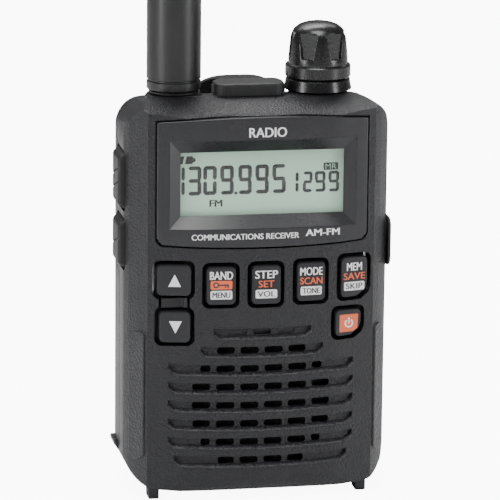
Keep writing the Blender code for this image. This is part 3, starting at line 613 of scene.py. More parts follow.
def build_handling() -> bpy.types.NodeTree:
    """Marks of handling: broad skin-oil patches with a few fine rubs across them.

    Returns:
        The group, with an Amount input and Patch and Rub outputs from 0 to 1.
    """
    wiring, given, wanted = new_group("handling", {"Amount": 0.5}, ["Patch", "Rub"])
    broad = wiring.node("TexNoise", Scale=70.0, Detail=3.0, Roughness=0.55)
    wiring.join(given["Vector"], broad.inputs["Vector"])
    patch = wiring.node("MapRange", From_Min=0.42, From_Max=0.66)
    wiring.join(broad.outputs["Fac"], patch.inputs["Value"])
    turned_over = wiring.node("Mapping", Rotation=(0.3, 0.7, 0.4), Scale=(900.0, 60.0, 90.0))
    wiring.join(given["Vector"], turned_over.inputs["Vector"])
    streak = wiring.node("TexNoise", Scale=1.0, Detail=1.0)
    wiring.join(turned_over.outputs["Vector"], streak.inputs["Vector"])
    rub = wiring.node("MapRange", From_Min=0.66, From_Max=0.74)
    wiring.join(streak.outputs["Fac"], rub.inputs["Value"])
    wiring.join(wiring.sum("MULTIPLY", patch.outputs[0], given["Amount"], True), wanted["Patch"])
    wiring.join(wiring.sum("MULTIPLY", rub.outputs[0], given["Amount"], True), wanted["Rub"])
    return wiring.tree


def build_dust() -> bpy.types.NodeTree:
    """Dust that settles on faces that look up.

    Returns:
        The group, with an Amount input and a Mask output from 0 to 1.
    """
    wiring, given, wanted = new_group("settled_dust", {"Amount": 0.2}, ["Mask"])
    way = wiring.node("NewGeometry")
    split = wiring.node("SeparateXYZ")
    wiring.join(way.outputs["Normal"], split.inputs[0])
    up = wiring.node("MapRange", From_Min=0.25, From_Max=1.0)
    wiring.join(split.outputs["Z"], up.inputs["Value"])
    specks = wiring.node("TexNoise", Scale=900.0, Detail=3.0, Roughness=0.7)
    wiring.join(given["Vector"], specks.inputs["Vector"])
    fleck = wiring.node("MapRange", From_Min=0.45, From_Max=0.75)
    wiring.join(specks.outputs["Fac"], fleck.inputs["Value"])
    both = wiring.sum("MULTIPLY", up.outputs[0], fleck.outputs[0])
    wiring.join(wiring.sum("MULTIPLY", both, given["Amount"], True), wanted["Mask"])
    return wiring.tree


@dataclass(frozen=True)
class Effects:
    """The node groups that the finishes share."""

    grain: bpy.types.NodeTree
    handling: bpy.types.NodeTree
    dust: bpy.types.NodeTree


EFFECTS = Effects(build_grain(), build_handling(), build_dust())
DUST_COLOUR = (0.32, 0.31, 0.30)


def new_material(name: str) -> tuple[bpy.types.Material, Wiring, bpy.types.Node, bpy.types.NodeSocket]:
    """Starts a material.

    Args:
        name: Its name.

    Returns:
        The material, its wiring, its Principled shader and its object coordinates.
    """
    material = bpy.data.materials.new(name)
    material.use_nodes = True
    wiring = Wiring(material.node_tree)
    shader = material.node_tree.nodes["Principled BSDF"]
    place = wiring.node("TexCoord")
    return material, wiring, shader, place.outputs["Object"]


def use_group(wiring: Wiring, group: bpy.types.NodeTree, place: bpy.types.NodeSocket, **values: float) -> bpy.types.Node:
    """Places a shared group in a material.

    Args:
        wiring: Wiring of the material.
        group: The group.
        place: Coordinates that it reads.
        values: Its number inputs.

    Returns:
        The group's node.
    """
    made = wiring.node("Group")
    made.node_tree = group
    wiring.join(place, made.inputs["Vector"])
    for key, value in values.items():
        made.inputs[key].default_value = value
    return made


@dataclass(frozen=True)
class Moulded:
    """Moulded plastic or rubber: mould grain, colour drift, handling marks and settled dust."""

    name: str
    colour: Colour
    roughness: float
    grain: float = 0.4
    depth: float = 0.03
    handling: float = 0.5
    dust: float = 0.15
    specular: float = 0.5
    coat: float = 0.0

    def build(self) -> bpy.types.Material:
        """Builds the material.

        Returns:
            The material.
        """
        material, wiring, shader, place = new_material(self.name)
        grain = use_group(wiring, EFFECTS.grain, place, Size=self.grain)
        marks = use_group(wiring, EFFECTS.handling, place, Amount=self.handling)
        dust = use_group(wiring, EFFECTS.dust, place, Amount=self.dust)
        drift = wiring.node("TexNoise", Scale=160.0, Detail=2.0)
        wiring.join(place, drift.inputs["Vector"])
        light = tuple(min(1.0, c * 1.22 + 0.002) for c in self.colour)
        dark = tuple(c * 0.82 for c in self.colour)
        tint = wiring.blend(drift.outputs["Fac"], dark, light)
        worn = tuple(min(1.0, c * 1.6 + 0.012) for c in self.colour)
        tint = wiring.blend(wiring.sum("MULTIPLY", marks.outputs["Rub"], 0.4), tint, worn)
        tint = wiring.blend(dust.outputs["Mask"], tint, DUST_COLOUR)
        wiring.join(tint, shader.inputs["Base Color"])
        valley = wiring.sum("MULTIPLY", wiring.sum("SUBTRACT", 0.6, grain.outputs["Height"]), 0.16)
        sheen = wiring.sum("MULTIPLY", marks.outputs["Patch"], -0.10)
        rough = wiring.sum("ADD", wiring.sum("ADD", valley, sheen), self.roughness, True)
        wiring.join(rough, shader.inputs["Roughness"])
        bump = wiring.node("Bump", Strength=1.0, Distance=self.depth * MM)
        wiring.join(grain.outputs["Height"], bump.inputs["Height"])
        wiring.join(bump.outputs["Normal"], shader.inputs["Normal"])
        shader.inputs["Specular IOR Level"].default_value = self.specular
        shader.inputs["Coat Weight"].default_value = self.coat
        shader.inputs["Coat Roughness"].default_value = 0.12
        return material


@dataclass(frozen=True)
class Metal:
    """Plated or turned metal with fine lines left by the tool."""

    name: str
    colour: Colour
    roughness: float
    along: Place = (300.0, 300.0, 9000.0)

    def build(self) -> bpy.types.Material:
        """Builds the material.

        Returns:
            The material.
        """
        material, wiring, shader, place = new_material(self.name)
        stretch = wiring.node("Mapping", Scale=self.along)
        wiring.join(place, stretch.inputs["Vector"])
        lines = wiring.node("TexNoise", Scale=1.0, Detail=4.0, Roughness=0.7)
        wiring.join(stretch.outputs["Vector"], lines.inputs["Vector"])
        marks = use_group(wiring, EFFECTS.handling, place, Amount=0.6)
        tarnish = tuple(c * 0.62 for c in self.colour)
        wiring.join(wiring.blend(marks.outputs["Patch"], self.colour, tarnish), shader.inputs["Base Color"])
        spread_out = wiring.sum("MULTIPLY", wiring.sum("SUBTRACT", lines.outputs["Fac"], 0.5), 0.3)
        wiring.join(wiring.sum("ADD", spread_out, self.roughness, True), shader.inputs["Roughness"])
        bump = wiring.node("Bump", Strength=0.5, Distance=0.01 * MM)
        wiring.join(lines.outputs["Fac"], bump.inputs["Height"])
        wiring.join(bump.outputs["Normal"], shader.inputs["Normal"])
        shader.inputs["Metallic"].default_value = 1.0
        return material


@dataclass(frozen=True)
class Board:
    """Circuit board: solder mask over copper tracks, with pads."""

    name: str
    mask: Colour = (0.012, 0.09, 0.035)
    track: Colour = (0.03, 0.17, 0.06)
    pad: Colour = (0.62, 0.60, 0.52)

    def build(self) -> bpy.types.Material:
        """Builds the material.

        Returns:
            The material.
        """
        material, wiring, shader, place = new_material(self.name)
        flat = wiring.node("Mapping", Rotation=(math.pi / 2, 0, 0))
        wiring.join(place, flat.inputs["Vector"])
        cells = wiring.node("TexVoronoi", feature="F1", distance="MANHATTAN", Scale=420.0, Randomness=0.7)
        wiring.join(flat.outputs["Vector"], cells.inputs["Vector"])
        bricks = wiring.node("TexBrick", Scale=330.0, Mortar_Size=0.06, offset=0.37, squash=0.6)
        wiring.join(flat.outputs["Vector"], bricks.inputs["Vector"])
        pads = wiring.sum("LESS_THAN", cells.outputs["Distance"], 0.16)
        tinted = wiring.blend(bricks.outputs["Fac"], self.mask, self.track)
        wiring.join(wiring.blend(pads, tinted, self.pad), shader.inputs["Base Color"])
        wiring.join(wiring.sum("MULTIPLY", pads, 0.9), shader.inputs["Metallic"])
        marks = use_group(wiring, EFFECTS.handling, place, Amount=0.4)
        rough = wiring.sum("SUBTRACT", 0.42, wiring.sum("MULTIPLY", marks.outputs["Patch"], 0.15))
        wiring.join(rough, shader.inputs["Roughness"])
        bump = wiring.node("Bump", Strength=0.6, Distance=0.03 * MM)
        wiring.join(wiring.sum("ADD", bricks.outputs["Fac"], pads), bump.inputs["Height"])
        wiring.join(bump.outputs["Normal"], shader.inputs["Normal"])
        return material


@dataclass(frozen=True)
class Paper:
    """Pressed fibre or film: long soft threads of two tones."""

    name: str
    light: Colour
    dark: Colour
    roughness: float
    weave: Place = (500.0, 500.0, 2600.0)

    def build(self) -> bpy.types.Material:
        """Builds the material.

        Returns:
            The material.
        """
        material, wiring, shader, place = new_material(self.name)
        stretch = wiring.node("Mapping", Scale=self.weave)
        wiring.join(place, stretch.inputs["Vector"])
        threads = wiring.node("TexNoise", Scale=1.0, Detail=5.0, Roughness=0.7, Distortion=0.6)
        wiring.join(stretch.outputs["Vector"], threads.inputs["Vector"])
        wiring.join(wiring.blend(threads.outputs["Fac"], self.dark, self.light), shader.inputs["Base Color"])
        change = wiring.sum("MULTIPLY", threads.outputs["Fac"], 0.2)
        wiring.join(wiring.sum("ADD", change, self.roughness - 0.1, True), shader.inputs["Roughness"])
        bump = wiring.node("Bump", Strength=0.8, Distance=0.03 * MM)
        wiring.join(threads.outputs["Fac"], bump.inputs["Height"])
        wiring.join(bump.outputs["Normal"], shader.inputs["Normal"])
        return material


@dataclass(frozen=True)
class CellSleeve:
    """Printed shrink sleeve of a cell: a body colour with a lighter band near its upper end."""

    name: str
    body: Colour
    band: Colour
    from_z: float
    to_z: float

    def build(self) -> bpy.types.Material:
        """Builds the material.

        Returns:
            The material.
        """
        material, wiring, shader, place = new_material(self.name)
        split = wiring.node("SeparateXYZ")
        wiring.join(place, split.inputs[0])
        above = wiring.sum("GREATER_THAN", split.outputs["Z"], self.from_z * MM)
        below = wiring.sum("LESS_THAN", split.outputs["Z"], self.to_z * MM)
        marks = use_group(wiring, EFFECTS.handling, place, Amount=0.7)
        tint = wiring.blend(wiring.sum("MULTIPLY", above, below), self.body, self.band)
        dulled = wiring.blend(wiring.sum("MULTIPLY", marks.outputs["Patch"], 0.25), tint, (0.05, 0.05, 0.05))
        wiring.join(dulled, shader.inputs["Base Color"])
        rough = wiring.sum("SUBTRACT", 0.34, wiring.sum("MULTIPLY", marks.outputs["Patch"], 0.12))
        wiring.join(rough, shader.inputs["Roughness"])
        wrinkles = wiring.node("TexNoise", Scale=380.0, Detail=3.0)
        wiring.join(place, wrinkles.inputs["Vector"])
        bump = wiring.node("Bump", Strength=0.4, Distance=0.03 * MM)
        wiring.join(wrinkles.outputs["Fac"], bump.inputs["Height"])
        wiring.join(bump.outputs["Normal"], shader.inputs["Normal"])
        return material


@dataclass(frozen=True)
class ClearWindow:
    """Clear acrylic window with faint smears that only its gloss shows."""

    name: str
    tint: Colour = (0.82, 0.86, 0.83)
    cover: float = 0.03

    def build(self) -> bpy.types.Material:
        """Builds the material.

        Returns:
            The material.
        """
        material, wiring, shader, place = new_material(self.name)
        marks = use_group(wiring, EFFECTS.handling, place, Amount=0.8)
        smear = wiring.sum("MULTIPLY", marks.outputs["Patch"], 0.05)
        wiring.join(wiring.sum("ADD", smear, 0.05), shader.inputs["Roughness"])
        drift = wiring.blend(marks.outputs["Patch"], self.tint, tuple(c * 0.97 for c in self.tint))
        wiring.join(drift, shader.inputs["Base Color"])
        veil = wiring.sum("MULTIPLY", marks.outputs["Rub"], 0.03)
        wiring.join(wiring.sum("ADD", veil, self.cover), shader.inputs["Alpha"])
        shader.inputs["Specular IOR Level"].default_value = 0.2
        return material


@dataclass(frozen=True)
class Crystal:
    """Liquid crystal panel: a grey-green reflector with a fine grain, painted shade that darkens it towards its top,
    and a faint painted glow.
    """

    name: str
    # The panel's two tones: the blend towards the dark one near the top is painted shade, and the rest follows a random
    # grain.
    light: Colour = (0.40, 0.59, 0.46)
    dark: Colour = (0.34, 0.51, 0.39)

    def build(self) -> bpy.types.Material:
        """Builds the material.

        Returns:
            The material.
        """
        material, wiring, shader, place = new_material(self.name)
        split = wiring.node("SeparateXYZ")
        wiring.join(place, split.inputs[0])
        # Painted shade: the panel is blended towards its dark tone as it rises from z 62 to 79 mm.
        rise = wiring.node("MapRange", From_Min=0.062, From_Max=0.079)
        wiring.join(split.outputs["Z"], rise.inputs["Value"])
        grain = wiring.node("TexNoise", Scale=5200.0, Detail=1.0)
        wiring.join(place, grain.inputs["Vector"])
        mixed = wiring.sum("ADD", wiring.sum("MULTIPLY", rise.outputs[0], 0.6), grain.outputs["Fac"])
        share = wiring.sum("MULTIPLY", mixed, 0.62, True)
        tint = wiring.blend(share, self.light, self.dark)
        wiring.join(tint, shader.inputs["Base Color"])
        # Painted glow: the panel faintly emits its own tint, though no lamp lights it.
        wiring.join(tint, shader.inputs["Emission Color"])
        shader.inputs["Emission Strength"].default_value = 0.12
        wiring.join(wiring.sum("MULTIPLY", grain.outputs["Fac"], 0.9), shader.inputs["Roughness"])
        return material


@dataclass(frozen=True)
class Ink:
    """Screen-printed ink with a slightly uneven film."""

    name: str
    colour: Colour
    roughness: float = 0.5

    def build(self) -> bpy.types.Material:
        """Builds the material.

        Returns:
            The material.
        """
        material, wiring, shader, place = new_material(self.name)
        film = wiring.node("TexNoise", Scale=2600.0, Detail=3.0, Roughness=0.6)
        wiring.join(place, film.inputs["Vector"])
        thin = tuple(c * 0.80 for c in self.colour)
        wiring.join(wiring.blend(film.outputs["Fac"], thin, self.colour), shader.inputs["Base Color"])
        rough = wiring.sum("ADD", wiring.sum("MULTIPLY", film.outputs["Fac"], 0.2), self.roughness - 0.1)
        wiring.join(rough, shader.inputs["Roughness"])
        bump = wiring.node("Bump", Strength=0.5, Distance=0.01 * MM)
        wiring.join(film.outputs["Fac"], bump.inputs["Height"])
        wiring.join(bump.outputs["Normal"], shader.inputs["Normal"])
        return material


@dataclass(frozen=True)
class Finishes:
    """Every finish of the radio, built once."""

    case: bpy.types.Material
    grip: bpy.types.Material
    bezel: bpy.types.Material
    key: bpy.types.Material
    rubber: bpy.types.Material
    whip: bpy.types.Material
    knob: bpy.types.Material
    frame: bpy.types.Material
    well: bpy.types.Material
    guide: bpy.types.Material
    steel: bpy.types.Material
    brass: bpy.types.Material
    board: bpy.types.Material
    cone: bpy.types.Material
    cloth: bpy.types.Material
    cell: bpy.types.Material
    window: bpy.types.Material
    crystal: bpy.types.Material
    segment: bpy.types.Material
    white: bpy.types.Material
    orange: bpy.types.Material
    dark: bpy.types.Material


def build_finishes() -> Finishes:
    """Builds the finishes of the radio.

    Returns:
        The finishes.
    """
    return Finishes(
        case=Moulded("case_black", (0.006, 0.006, 0.0078), 0.40, grain=0.50, depth=0.22, dust=0.02, specular=0.45).build(),
        grip=Moulded("grip_black", (0.010, 0.010, 0.012), 0.38, grain=0.62, depth=0.30, dust=0.02, specular=0.5).build(),
        bezel=Moulded("bezel_black", (0.0085, 0.0085, 0.0105), 0.33, grain=0.22, depth=0.008, dust=0.01).build(),
        key=Moulded("key_black", (0.010, 0.010, 0.012), 0.46, grain=0.22, depth=0.012, dust=0.02, specular=0.4).build(),
        rubber=Moulded("rubber_black", (0.009, 0.009, 0.010), 0.58, grain=0.3, depth=0.02, dust=0.04, specular=0.4).build(),
        whip=Moulded("whip_black", (0.009, 0.009, 0.010), 0.40, grain=0.35, depth=0.015, dust=0.01).build(),
        knob=Moulded("knob_black", (0.007, 0.007, 0.008), 0.30, grain=0.5, depth=0.002, dust=0.0).build(),
        frame=Moulded("frame_grey", (0.060, 0.060, 0.066), 0.58, grain=0.45, depth=0.03, dust=0.1).build(),
        well=Moulded("well_black", (0.004, 0.004, 0.005), 0.7, grain=0.3, depth=0.01, dust=0.0).build(),
        guide=Moulded("guide_white", (0.74, 0.75, 0.73), 0.4, grain=0.3, depth=0.004, dust=0.0).build(),
        steel=Metal("plated_steel", (0.56, 0.56, 0.58), 0.32).build(),
        brass=Metal("turned_brass", (0.72, 0.52, 0.24), 0.28).build(),
        board=Board("circuit_board").build(),
        cone=Paper("cone_paper", (0.09, 0.075, 0.06), (0.035, 0.03, 0.026), 0.8).build(),
        cloth=Paper("dust_cloth", (0.02, 0.02, 0.02), (0.004, 0.004, 0.004), 0.9, (2600.0, 2600.0, 2600.0)).build(),
        cell=CellSleeve("cell_sleeve", (0.05, 0.11, 0.24), (0.55, 0.42, 0.16), 42.0, 55.0).build(),
        window=ClearWindow("clear_window").build(),
        crystal=Crystal("liquid_crystal").build(),
        segment=Ink("crystal_segment", (0.002, 0.005, 0.004), 0.6).build(),
        white=Ink("white_ink", (0.80, 0.80, 0.80)).build(),
        orange=Ink("orange_ink", (0.74, 0.13, 0.045)).build(),
        dark=Ink("dark_ink", (0.030, 0.030, 0.034)).build(),
    )


# Sub-assemblies


@dataclass
class Shells:
    """Front shell, upper rear shell and battery cover, cut from one case form."""

    width: float = 58.0
    bottom: float = 1.9
    top: float = 87.6
    wall: float = 2.0
    gap: float = 0.3
    fold_x: float = 24.8
    seam_y: float = 0.15
    cover_top: float = 63.0
    flank_top: float = 49.2
    bow: float = 0.0015
    foot_x: float = 23.0
    slot_pitch: float = 4.1
    slot_top: float = 38.6
    slot_height: float = 2.1
    slot_depth: float = 0.9
    hole_pitch: float = 5.27
    hole_width: float = 4.0
    hole_height: float = 1.45
    speaker_z: float = 21.4
    speaker_open: float = 15.6
    slot_halves: tuple[float, ...] = (10.6, 13.4, 20.3, 20.3, 20.3, 20.3, 20.3, 19.0)
    rim: float = 0.22
    top_fall: float = 2.8

    def plan(self, inset: float) -> list[Point]:
        """Section from above: a shallow front arc, faceted front corners and round rear ones."""
        half = self.width / 2 - inset
        edge = front_y(self.fold_x) + inset
        fold = self.fold_x - inset * 0.7
        xs = spread(0, BEND_X, 10) + spread(BEND_X, fold, 4)[1:]
        front = [(x, front_y(x) + inset) for x in xs]
        corner = [(half - 2.5, edge + 2.1), (half - 0.9, edge + 4.6), (half, edge + 7.0)]
        radius = 9.0 - inset
        rear = arc((half - radius, REAR_FACE - inset - radius), radius, 0, 90, 14)
        right = front[1:] + corner + rear
        return [(0.0, front[0][1])] + right + [(-x, y) for x, y in reversed(right)]

    def face(self, inset: float) -> list[Point]:
        """Outline from the front: a curved bottom edge and generous lower corners."""
        half = self.width / 2 - inset
        low, high = self.bottom + inset, self.top - inset
        foot, shoulder = 7.0 - inset, 7.5 - inset / 2
        base = [(x, low + self.bow * x * x) for x in spread(0, half - foot, 6)]
        lift = base[-1][1]
        right = base[1:] + arc((half - foot, lift + foot), foot, -90, 0, 14)[1:]
        right += arc((half - shoulder, high - shoulder), shoulder, 0, 90, 12)
        return [base[0]] + right + [(-x, z) for x, z in reversed(right)]

    def side(self, inset: float) -> list[Point]:
        """Outline from the side: the top slopes down to the front and falls to the rear."""
        low, high = self.bottom + inset * 0.6, self.top - inset
        front, rear = FRONT_APEX + inset, REAR_FACE - inset
        edge = max(2.6 - inset, 0.6)
        slope = [(front, self.top - 5.2 - inset), (front + 0.15, self.top - 4.2 - inset)]
        slope += [(front + 0.5, self.top - 3.3 - inset), (front + 1.1, self.top - 2.6 - inset)]
        slope += [(front + 2.0, self.top - 2.0 - inset), (front + 4.0, self.top - 1.25 - inset)]
        slope += [(front + 6.5, self.top - 0.65 - inset), (front + 9.6, self.top - 0.2 - inset), (-2.0, high)]
        return (
            arc((front + edge, low + edge), edge, 270, 180, 6)
            + slope
            + arc((rear - edge, high - edge), edge, 90, 0, 6)
            + arc((rear - edge, low + edge), edge, 0, -90, 6)
        )

    def form(self, name: str, inset: float) -> Item:
        """The case's outer form or, with an inset, the hollow inside it.

        Args:
            name: Name of the piece.
            inset: Distance inside the outer form.

        Returns:
            The new piece.
        """
        piece = plate(name, self.plan(inset), Plane.TOP, self.bottom - 3, self.top + 3)
        shape(piece, plate("face", self.face(inset), Plane.FRONT, -40, 40), Cut.WITHIN)
        shape(piece, plate("side", self.side(inset), Plane.SIDE, -40, 40), Cut.WITHIN)
        start = self.top - 12.0
        for vertex in piece.data.vertices:
            y, z = vertex.co.y / MM, vertex.co.z / MM
            share = min(max((z - start) / 8.0, 0.0), 1.0)
            vertex.co.z -= self.top_fall * max(y + 2.0, 0.0) / (REAR_FACE + 2.0) * share * MM
        clean_shell(piece)
        return piece

    def outer(self, name: str) -> Item:
        """The outer form with its long edges rounded."""
        return soften(self.form(name, 0.0), 0.8, 4, 34.0)

    def behind_seam(self, gap: float) -> list[Point]:
        """Side outline of all that lies behind the case's seam."""
        start, step = self.seam_y + gap, 9.2 + gap
        return [(start, -10), (start, 76 - gap), (step, 79.5 - gap), (step, 110), (40, 110), (40, -10)]

    def cover_region(self) -> list[Point]:
        """Side outline of the battery cover, whose top edge rises to the rear in two steps."""
        start = self.seam_y + self.gap
        curve = arc((start + 3.6, self.flank_top - 3.6), 3.6, 180, 90, 8)
        rise = [(start + 6.0, self.flank_top + 1.2), (REAR_FACE - self.wall - 1.0, self.cover_top)]
        return [(start, -10)] + curve + rise + [(40, self.cover_top), (40, -10)]

    def slot_tool(self, row: int) -> Item:
        """Tool for one grille slot, swept across the front: its lower lip slopes up to the light."""
        half = self.slot_halves[row]
        top = self.slot_top - row * self.slot_pitch
        lip, far = 0.42, 3.0
        rings = []
        for x in [-half] + spread(-half + 1.3, half - 1.3, 26) + [half]:
            corner = 1.0 if abs(x) > half - 1.0 else 0.0
            lift, y = self.bow * x * x, front_y(x)
            low = top - self.slot_height + lift + corner
            high = top + lift
            ring = [(y - far, low), (y - 0.01, low), (y + self.slot_depth, low + lip)]
            ring += [(y + self.slot_depth, high), (y - far, high)]
            rings.append([(x, v, z) for v, z in ring])
        return lofted(f"slot_{row}", rings)

    def hole_tools(self) -> list[Item]:
        """Tools for the holes in the slots' floors that lie in front of the speaker."""
        tools = []
        for row in range(1, len(self.slot_halves)):
            middle = self.slot_top - row * self.slot_pitch - self.slot_height / 2 + 0.12
            reach = math.sqrt(max(self.speaker_open**2 - (middle - self.speaker_z) ** 2, 0.0))
            for column in range(6):
                left = (column - 2.5) * self.hole_pitch - self.hole_width / 2
                right = min(left + self.hole_width, reach)
                left = max(left, -reach)
                if right - left < 1.0:
                    continue
                z = middle + self.bow * ((left + right) / 2) ** 2
                half = self.hole_height / 2
                outline = rounded(left, right, z - half, z + half, 0.55, 4)
                tools.append(plate("hole", outline, Plane.FRONT, FRONT_APEX - 1, FRONT_APEX + 6))
        z = self.slot_top - self.slot_height / 2 + 0.12
        for x, deep in ((-self.hole_pitch, 1.2), (0.0, 1.8), (self.hole_pitch, 1.2)):
            outline = rounded(x - 1.95, x + 1.95, z - 0.6, z + 0.6, 0.3, 4)
            tools.append(plate("pocket", outline, Plane.FRONT, FRONT_APEX - 1, front_y(x) + deep))
        return tools

    def foot(self, side: int, ys: Point) -> Item:
        """Short rib under the case, with a sloping end towards the middle of the depth."""
        ramp = 0.8 if ys[0] < 0 else -0.8
        start, end = ys if ys[0] < 0 else (ys[1], ys[0])
        outline = [(start, 0.0), (end, 0.0), (end + ramp, 4.6), (start, 4.6)]
        middle = side * self.foot_x
        return soften(plate("foot", outline, Plane.SIDE, middle - 1.15, middle + 1.15), 0.2, 2)

    def side_wells(self) -> Item:
        """Tool for the openings of the two side keys, which lie across the seam."""
        tools = []
        for node in ("side_key_function", "side_key_squelch"):
            low, high = case_box(node)
            ys, zs = (low.y - 0.4, high.y + 0.4), (low.z - 0.4, high.z + 0.4)
            tools.append(plate("well", rounded(*ys, *zs, 0.9), Plane.SIDE, -35, -25))
        return as_one(tools)

    def build_bosses(self) -> Item:
        """Raised seats on the falling top, under the antenna, the knob and the jack's cover.

        Returns:
            The seats, as one tool.
        """
        low, high = self.top - 7.0, self.top - 0.12
        seats = []
        for node, radius in (("antenna_jack", 6.2), ("encoder_shaft", 6.5)):
            near, far = case_box(node)
            profile = [(0.0, high), (radius - 0.4, high), (radius, high - 0.4), (radius, low), (0.0, low)]
            seats.append(turned("seat", profile, ((near.x + far.x) / 2, (near.y + far.y) / 2, 0.0), Axis.Z, 64))
        near, far = case_box("jack_cover")
        outline = rounded(near.x, far.x, near.y, far.y, 2.2, 8)
        seats.append(soften(plate("seat", outline, Plane.TOP, low, high), 0.25, 2, 60.0))
        return as_one(seats)

    def build_front(self, keys: "Keypad", display: "Display") -> Item:
        """Front shell with the display recess, key wells, grille, side openings and feet.

        Args:
            keys: The keypad, which gives the wells' outlines.
            display: The display, which gives the recess.

        Returns:
            The shell.
        """
        piece = self.outer("front_shell")
        shape(piece, self.build_bosses(), Cut.ON)
        for side in (-1, 1):
            shape(piece, self.foot(side, (-11.0, -7.0)), Cut.ON)
        shape(piece, as_one([self.slot_tool(row) for row in range(len(self.slot_halves))]))
        shape(piece, display.recess_tool(self.gap))
        shape(piece, as_one([keys.well_tool(node) for node in keys.nodes]))
        shape(piece, plate("bridge", rounded(-22.4, -15.9, 42.0, 47.0, 0.4), Plane.FRONT, -18, -9))
        soften_rims(piece, self.on_front, self.rim)
        shape(piece, self.form("hollow", self.wall))
        shape(piece, plate("seam", self.behind_seam(-self.gap / 2), Plane.SIDE, -60, 60))
        shape(piece, plate("opening", rounded(-21.6, 21.6, 59.6, 81.3, 0.8), Plane.FRONT, -18, -9))
        shape(piece, as_one(self.hole_tools()))
        shape(piece, self.side_wells())
        low, high = case_box("dc_jack")
        shape(piece, rod("dc_hole", 3.0, (20, (low.y + high.y) / 2, (low.z + high.z) / 2), 15, Axis.X))
        for node in ("antenna_jack", "encoder_shaft", "speaker_jack"):
            low, high = case_box(node)
            shape(piece, rod("top_hole", 3.4, ((low.x + high.x) / 2, (low.y + high.y) / 2, 80), 15))
        return piece

    def on_front(self, point: Vector) -> bool:
        """Whether a point lies on the front face, inside its folds and away from its ends."""
        near = abs(point.y - front_y(point.x)) < 0.03
        return near and abs(point.x) < self.fold_x - 0.3 and 7.0 < point.z < 81.5

    def build_rear(self) -> Item:
        """Upper rear shell, above the battery cover, with its screw holes.

        Returns:
            The shell.
        """
        piece = self.outer("rear_shell")
        shape(piece, self.form("hollow", self.wall))
        shape(piece, plate("keep", self.behind_seam(self.gap / 2), Plane.SIDE, -60, 60), Cut.WITHIN)
        edge = [(y - self.gap, z + self.gap) for y, z in self.cover_region()]
        shape(piece, plate("cover_space", edge, Plane.SIDE, -60, 60))
        shape(piece, self.side_wells())
        for node in ("case_screw_left", "case_screw_right", "clip_screw_lower", "clip_screw_upper"):
            low, high = case_box(node)
            x, z = (low.x + high.x) / 2, (low.z + high.z) / 2
            shape(piece, rod("screw_hole", 1.35, (x, 8, z), 10, Axis.Y))
            if node.startswith("case"):
                sink = [(0.0, 0.0), (2.4, 0.0), (2.4, 0.85), (3.4, 3.0), (0.0, 3.0)]
                shape(piece, turned("sink", sink, (x, REAR_FACE - 0.9, z), Axis.Y))
        return piece

    def build_cover(self) -> Item:
        """Battery cover with a thumb ledge on each side, feet and a ribbed push area.

        Returns:
            The cover.
        """
        piece = self.outer("battery_door")
        shape(piece, self.form("hollow", self.wall))
        shape(piece, plate("keep", self.cover_region(), Plane.SIDE, -60, 60), Cut.WITHIN)
        for side in (-1, 1):
            outer, inner = side * (self.width / 2 + 0.8), side * (self.width / 2 - 1.0)
            wedge = [(inner, 9.9), (outer, 9.9), (outer, 9.0), (inner, 6.4)]
            shape(piece, soften(plate("ledge", wedge, Plane.FRONT, 2.2, 8.2), 0.2, 2), Cut.ON)
            shape(piece, self.foot(side, (3.5, 9.5)), Cut.ON)
        grooves = [block("groove", (-7.0, 7.0), (REAR_FACE - 0.35, 18), (z, z + 0.7)) for z in spread(16, 25, 6)]
        shape(piece, as_one(grooves))
        return piece

    def build_lips(self) -> Item:
        """Fine raised lip along the lower edge of each slot, which catches the light.

        Returns:
            The lips.
        """
        lips = []
        for row, half in enumerate(self.slot_halves):
            low = self.slot_top - row * self.slot_pitch - self.slot_height
            path = [(-half, low + 1.0)] + [(x, low) for x in spread(-half + 1.3, half - 1.3, 26)]
            path = [(x, z + self.bow * x * x) for x, z in path + [(half, low + 1.0)]]
            rings = []
            for index, (x, z) in enumerate(path):
                before, after = path[max(index - 1, 0)], path[min(index + 1, len(path) - 1)]
                along = Vector((after[0] - before[0], after[1] - before[1])).normalized()
                out = Vector((along.y, -along.x))
                y = front_y(x)
                ring = []
                for reach, proud in ((-0.04, 0.12), (0.02, -0.04), (0.20, -0.20), (0.30, -0.19), (0.44, 0.12)):
                    ring.append((x + out.x * reach, y + proud, z + out.y * reach))
                rings.append(ring)
            lips.append(lofted("grille_lips", rings))
        return as_one(lips)

    def build_grips(self) -> list[Item]:
        """Raised grip pads on the two front pillars, with a slanted arched top.

        Returns:
            The pads.
        """
        pads = []
        for side in (-1, 1):
            inner, outer = Vector((25.3, -11.75)), Vector((28.05, -7.75))
            along = (outer - inner).normalized()
            out = Vector((along.y, -along.x))
            rings = []
            for share in spread(0.0, 1.0, 10):
                at = inner + (outer - inner) * share
                top = 37.2 - 2.4 * share + 1.8 * math.sin(math.pi * share)
                low = 10.2 - 1.3 * math.sin(math.pi * share)
                back, lift = at - out * 0.7, at + out * 0.34
                ring = [(back.x, back.y, low), (lift.x, lift.y, low)]
                ring += [(lift.x, lift.y, top), (back.x, back.y, top)]
                rings.append([(side * x, y, z) for x, y, z in ring])
            pad = lofted("grip_pad_left" if side < 0 else "grip_pad_right", rings)
            pads.append(soften(pad, 0.3, 3, 40.0))
        return pads

    def build(self, finishes: Finishes, keys: "Keypad", display: "Display") -> None:
        """Builds and dresses the shells.

        Args:
            finishes: The finishes.
            keys: The keypad.
            display: The display.
        """
        hand_over(self.build_front(keys, display), finishes.case, "case", "front_case")
        hand_over(self.build_rear(), finishes.case, "case", "rear_case")
        hand_over(self.build_cover(), finishes.case, "cover", "battery_cover")
        hand_over(self.build_lips(), finishes.grip, "case", smooth=25.0)
        for pad in self.build_grips():
            hand_over(pad, finishes.grip, "case")


